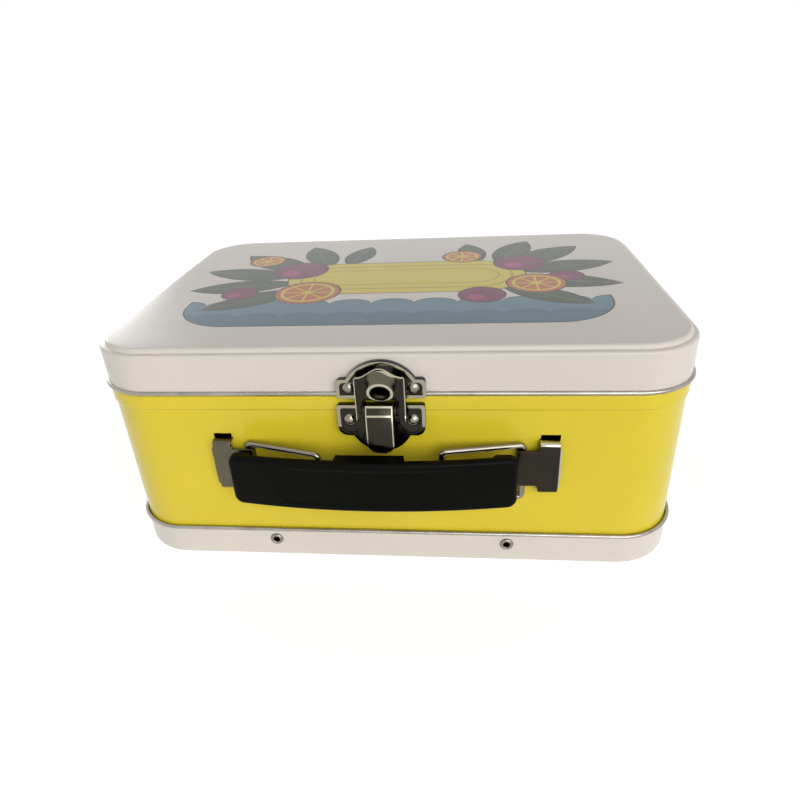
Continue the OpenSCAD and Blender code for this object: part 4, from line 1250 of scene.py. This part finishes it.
class GripForm:
    """A bowed channel. Its points are given by x and z from the middle, and a depth behind the face's arc."""

    edge_steps = 8
    face_rings = 25
    last_corner_r = 0.02 * MM
    slot_half = 0.1 * MM
    inner_break = 0.3 * MM
    relief_ramp = 0.5 * MM
    stadium_ramp = 0.9 * MM

    def __init__(self, handle):
        self.sizes = handle
        self.centre = (GRIP_LOW + GRIP_HIGH) / 2
        self.half_x = (GRIP_HIGH.x - GRIP_LOW.x) / 2
        self.half_z = (GRIP_HIGH.z - GRIP_LOW.z) / 2
        self.front = -GRIP_LOW.y
        self.radius = bow_radius(self.half_x, handle.bow)
        self.back_radius = bow_radius(self.half_x, handle.bow + handle.end_depth - handle.depth)

    def place(self, x, z, depth):
        """A point at a depth behind the face's arc."""
        y = self.front - self.radius + math.sqrt((self.radius - depth) ** 2 - x * x)
        return Vector((self.centre.x + x, -y, self.centre.z + z))

    def rim_depth(self, x):
        """Depth of the back rim behind the face: its own arc, and less in the two reliefs."""
        h = self.sizes
        back = self.front - h.depth - self.back_radius + math.sqrt(self.back_radius**2 - x * x)
        whole = self.radius - math.hypot(x, back - self.front + self.radius)
        into = ramp((abs(x) - h.relief_from) / self.relief_ramp)
        out_of = ramp((h.relief_to - abs(x)) / self.relief_ramp)
        return whole + (h.rim - whole) * into * out_of

    def between(self, start, share):
        """A depth part of the way from a start to the back rim, at any place."""
        return lambda x, z: start + (self.rim_depth(x) - start) * share

    def sunk(self, x, z):
        """Depth of the face: none but in the stadium."""
        h = self.sizes
        beyond = max(abs(x) - (h.stadium_x - h.stadium_z), 0.0)
        distance = math.hypot(beyond, z) - h.stadium_z
        t = ramp(0.5 - distance / self.stadium_ramp)
        return h.stadium_depth * t * t * (3 - 2 * t)

    def ring(self, inset, depth):
        """Points around the grip at an inset from its outline, at a depth that follows the place."""
        r = max(self.sizes.corner - inset, self.last_corner_r)
        outline = rect_ring(self.half_x - inset, self.half_z - inset, r)
        return [self.place(x, z, depth(x, z)) for x, z in outline]

    def outside(self):
        """Rings of the outer side from the back rim, then the rounded front edge and the face."""
        h = self.sizes
        rings = [self.ring(0.0, self.between(h.edge, share)) for share in (1.0, 0.67, 0.33, 0.0)]
        for k in range(1, self.edge_steps + 1):
            a = math.pi / 2 * k / self.edge_steps
            start = h.edge * (1 - math.sin(a))
            rings.append(self.ring(h.edge * (1 - math.cos(a)), self.between(start, 0)))
        face_w = self.half_z - h.edge - self.slot_half
        return rings + [
            self.ring(h.edge + face_w * k / self.face_rings, self.sunk) for k in range(1, self.face_rings + 1)
        ]

    def channel(self):
        """Rings of the channel's floor from the middle, then of its walls up to the back rim."""
        wall = self.sizes.wall
        corner = wall + self.inner_break
        insets = (self.half_z - 2 * self.slot_half, 4 * MM, corner)
        floor = [self.ring(inset, self.between(wall, 0)) for inset in insets]
        return floor + [self.ring(wall, self.between(corner, share)) for share in (0, 0.5, 1)]

    def mesh(self):
        """Vertices and faces of the grip."""
        outside = self.outside()
        rings = outside + self.channel()
        size = len(rings[0])
        last = len(outside) - 1
        faces = []
        for i in range(len(rings)):
            j = (i + 1) % len(rings)
            if i != last:
                pairs = [(k, (k + 1) % size) for k in range(size)]
                faces += [(i * size + k, i * size + m, j * size + m, j * size + k) for k, m in pairs]
        for i in (last, last + 1):
            faces += seam(i * size)
        return [p for ring in rings for p in ring], faces


class LUNCHBOX_OT_grip(bpy.types.Operator):
    """Moulds the bowed channel grip with its sunk stadium, and finishes the two keepers inside it"""

    bl_idname = "lunchbox.grip"
    bl_label = "Grip"

    def execute(self, context):
        finish = context.scene.lunchbox_finish
        grip = new_piece("grip_finish", "grip", ("handle_grip",))
        fill_mesh(grip, *GripForm(context.scene.lunchbox_handle).mesh())
        grip.data.set_sharp_from_angle(angle=math.radians(55))
        grip.data.materials.append(moulded_plastic("grip plastic", finish.plastic))
        steel = nickel_plate("keeper steel", finish.nickel_dark, 0.3, 0.45)
        for word in ("left", "right"):
            node = f"grip_keeper_{word}"
            stamped_part(f"keeper_{word}_finish", node, "grip", 0.12 * MM, steel)
        return {"FINISHED"}


# ---- Rear hinges ----
class LUNCHBOX_OT_hinges(bpy.types.Operator):
    """Finishes the leaves and pins of the two rear hinges"""

    bl_idname = "lunchbox.hinges"
    bl_label = "Hinges"

    def execute(self, context):
        steel = nickel_plate("hinge nickel", context.scene.lunchbox_finish.nickel, 0.18, 0.32)
        for word in ("left", "right"):
            for part, body in (("body_leaf", "case"), ("lid_leaf", "lid"), ("pin", "case")):
                node = f"hinge_{part}_{word}"
                stamped_part(f"{node}_finish", node, body, 0.15 * MM, steel)
        return {"FINISHED"}


# ---- Studio ----
def flat_sheet(name, half, z):
    """A square sheet for the stage, lying at a height."""
    sheet = new_object(name, bpy.data.meshes.new(name))
    corners = [(-half, -half, 0), (half, -half, 0), (half, half, 0), (-half, half, 0)]
    fill_mesh(sheet, corners, [(0, 1, 2, 3)], smooth=False)
    sheet.location.z = z
    return sheet


def seen_directly(tree):
    """1 for the rays of the camera, of reflections and of glass, and 0 for the light on surfaces."""
    path = tree.nodes.new("ShaderNodeLightPath")
    value = path.outputs["Is Camera Ray"]
    for name in ("Is Glossy Ray", "Is Transmission Ray"):
        either = tree.nodes.new("ShaderNodeMath")
        either.operation = "MAXIMUM"
        tree.links.new(value, either.inputs[0])
        tree.links.new(path.outputs[name], either.inputs[1])
        value = either.outputs[0]
    return value


def floor_material(lift):
    """A pale floor that looks white, and keeps the shadow."""
    material = bpy.data.materials.new("pale floor")
    material.use_nodes = True
    tree = material.node_tree
    surface = tree.nodes["Principled BSDF"]
    surface.inputs["Base Color"].default_value = (0.93, 0.93, 0.93, 1)
    surface.inputs["Roughness"].default_value = 0.9
    surface.inputs["Specular IOR Level"].default_value = 0.1
    surface.inputs["Emission Color"].default_value = (1, 1, 1, 1)
    glow = tree.nodes.new("ShaderNodeMath")
    glow.operation = "MULTIPLY"
    glow.inputs[1].default_value = lift
    tree.links.new(seen_directly(tree), glow.inputs[0])
    tree.links.new(glow.outputs[0], surface.inputs["Emission Strength"])
    return material


def soft_light(name, place, spread, strength):
    """A broad far light that comes from a direction."""
    lamp = bpy.data.lights.new(name, "SUN")
    lamp.angle = spread
    lamp.energy = strength
    holder = new_object(name, lamp)
    holder.location = place
    holder.rotation_euler = (-Vector(place)).to_track_quat("-Z", "Y").to_euler()


def studio_world(context, strength):
    """A white surrounding, bright to the eye and soft on the box."""
    world = bpy.data.worlds.new("studio")
    context.scene.world = world
    world.use_nodes = True
    tree = world.node_tree
    background = tree.nodes["Background"]
    background.inputs["Color"].default_value = (1.0, 1.0, 1.0, 1)
    lift = tree.nodes.new("ShaderNodeMapRange")
    lift.inputs["To Min"].default_value = strength
    lift.inputs["To Max"].default_value = 1.0
    tree.links.new(seen_directly(tree), lift.inputs["Value"])
    tree.links.new(lift.outputs[0], background.inputs["Strength"])


def studio_camera(context, stage):
    """The camera: it looks ahead and down from its place, and is rolled a little."""
    camera = bpy.data.cameras.new("camera")
    camera.sensor_width = 36.0
    camera.lens = stage.lens
    camera.shift_x = stage.shift_x
    camera.clip_start = 0.01
    holder = new_object("camera", camera)
    p, y, r = stage.down, stage.aside, stage.roll
    ahead = Vector((math.sin(y) * math.cos(p), math.cos(y) * math.cos(p), -math.sin(p)))
    right = Vector((math.cos(y), -math.sin(y), 0))
    up = right.cross(ahead)
    right, up = right * math.cos(r) + up * math.sin(r), up * math.cos(r) - right * math.sin(r)
    axes = Matrix((right, up, -ahead)).transposed().to_4x4()
    holder.matrix_world = Matrix.Translation(stage.eye) @ axes
    context.scene.camera = holder


class LUNCHBOX_OT_stage(bpy.types.Operator):
    """Sets the floor, the surrounding light, the lamps and the camera"""

    bl_idname = "lunchbox.stage"
    bl_label = "Studio"

    def execute(self, context):
        stage = context.scene.lunchbox_stage
        floor = flat_sheet("floor", stage.floor_half, -stage.floor_gap)
        floor.data.materials.append(floor_material(stage.floor_lift))
        studio_world(context, stage.world)
        soft_light("key", (0.95, -1.9, 0.68), stage.key_spread, stage.key)
        soft_light("fill", (-1.2, 1.4, 0.25), stage.fill_spread, stage.fill)
        studio_camera(context, stage)
        context.scene.view_settings.view_transform = "Standard"
        return {"FINISHED"}


OPERATORS = (
    LUNCHBOX_OT_lid,
    LUNCHBOX_OT_body,
    LUNCHBOX_OT_rivets,
    LUNCHBOX_OT_latch,
    LUNCHBOX_OT_links,
    LUNCHBOX_OT_grip,
    LUNCHBOX_OT_hinges,
    LUNCHBOX_OT_stage,
)


class LUNCHBOX_PT_panel(bpy.types.Panel):
    """Lists the pieces of the lunch box"""

    bl_label = "Lunch Box"
    bl_idname = "LUNCHBOX_PT_panel"
    bl_space_type = "VIEW_3D"
    bl_region_type = "UI"
    bl_category = "Lunch Box"

    def draw(self, context):
        for name, group in GROUPS.items():
            box = self.layout.box()
            box.label(text=group.__doc__)
            settings = getattr(context.scene, name)
            for key in group.__annotations__:
                box.prop(settings, key)
        for operator in OPERATORS:
            self.layout.operator(operator.bl_idname)


def register():
    for name, group in GROUPS.items():
        bpy.utils.register_class(group)
        setattr(bpy.types.Scene, name, bpy.props.PointerProperty(type=group))
    for cls in (*OPERATORS, LUNCHBOX_PT_panel):
        bpy.utils.register_class(cls)


def unregister():
    for cls in (LUNCHBOX_PT_panel, *reversed(OPERATORS)):
        bpy.utils.unregister_class(cls)
    for name, group in reversed(GROUPS.items()):
        delattr(bpy.types.Scene, name)
        bpy.utils.unregister_class(group)


def main():
    register()
    for operator in OPERATORS:
        family, call = operator.bl_idname.split(".")
        if getattr(getattr(bpy.ops, family), call)() != {"FINISHED"}:
            raise RuntimeError(f"{operator.bl_label} did not finish")


if __name__ == "__main__":
    main()
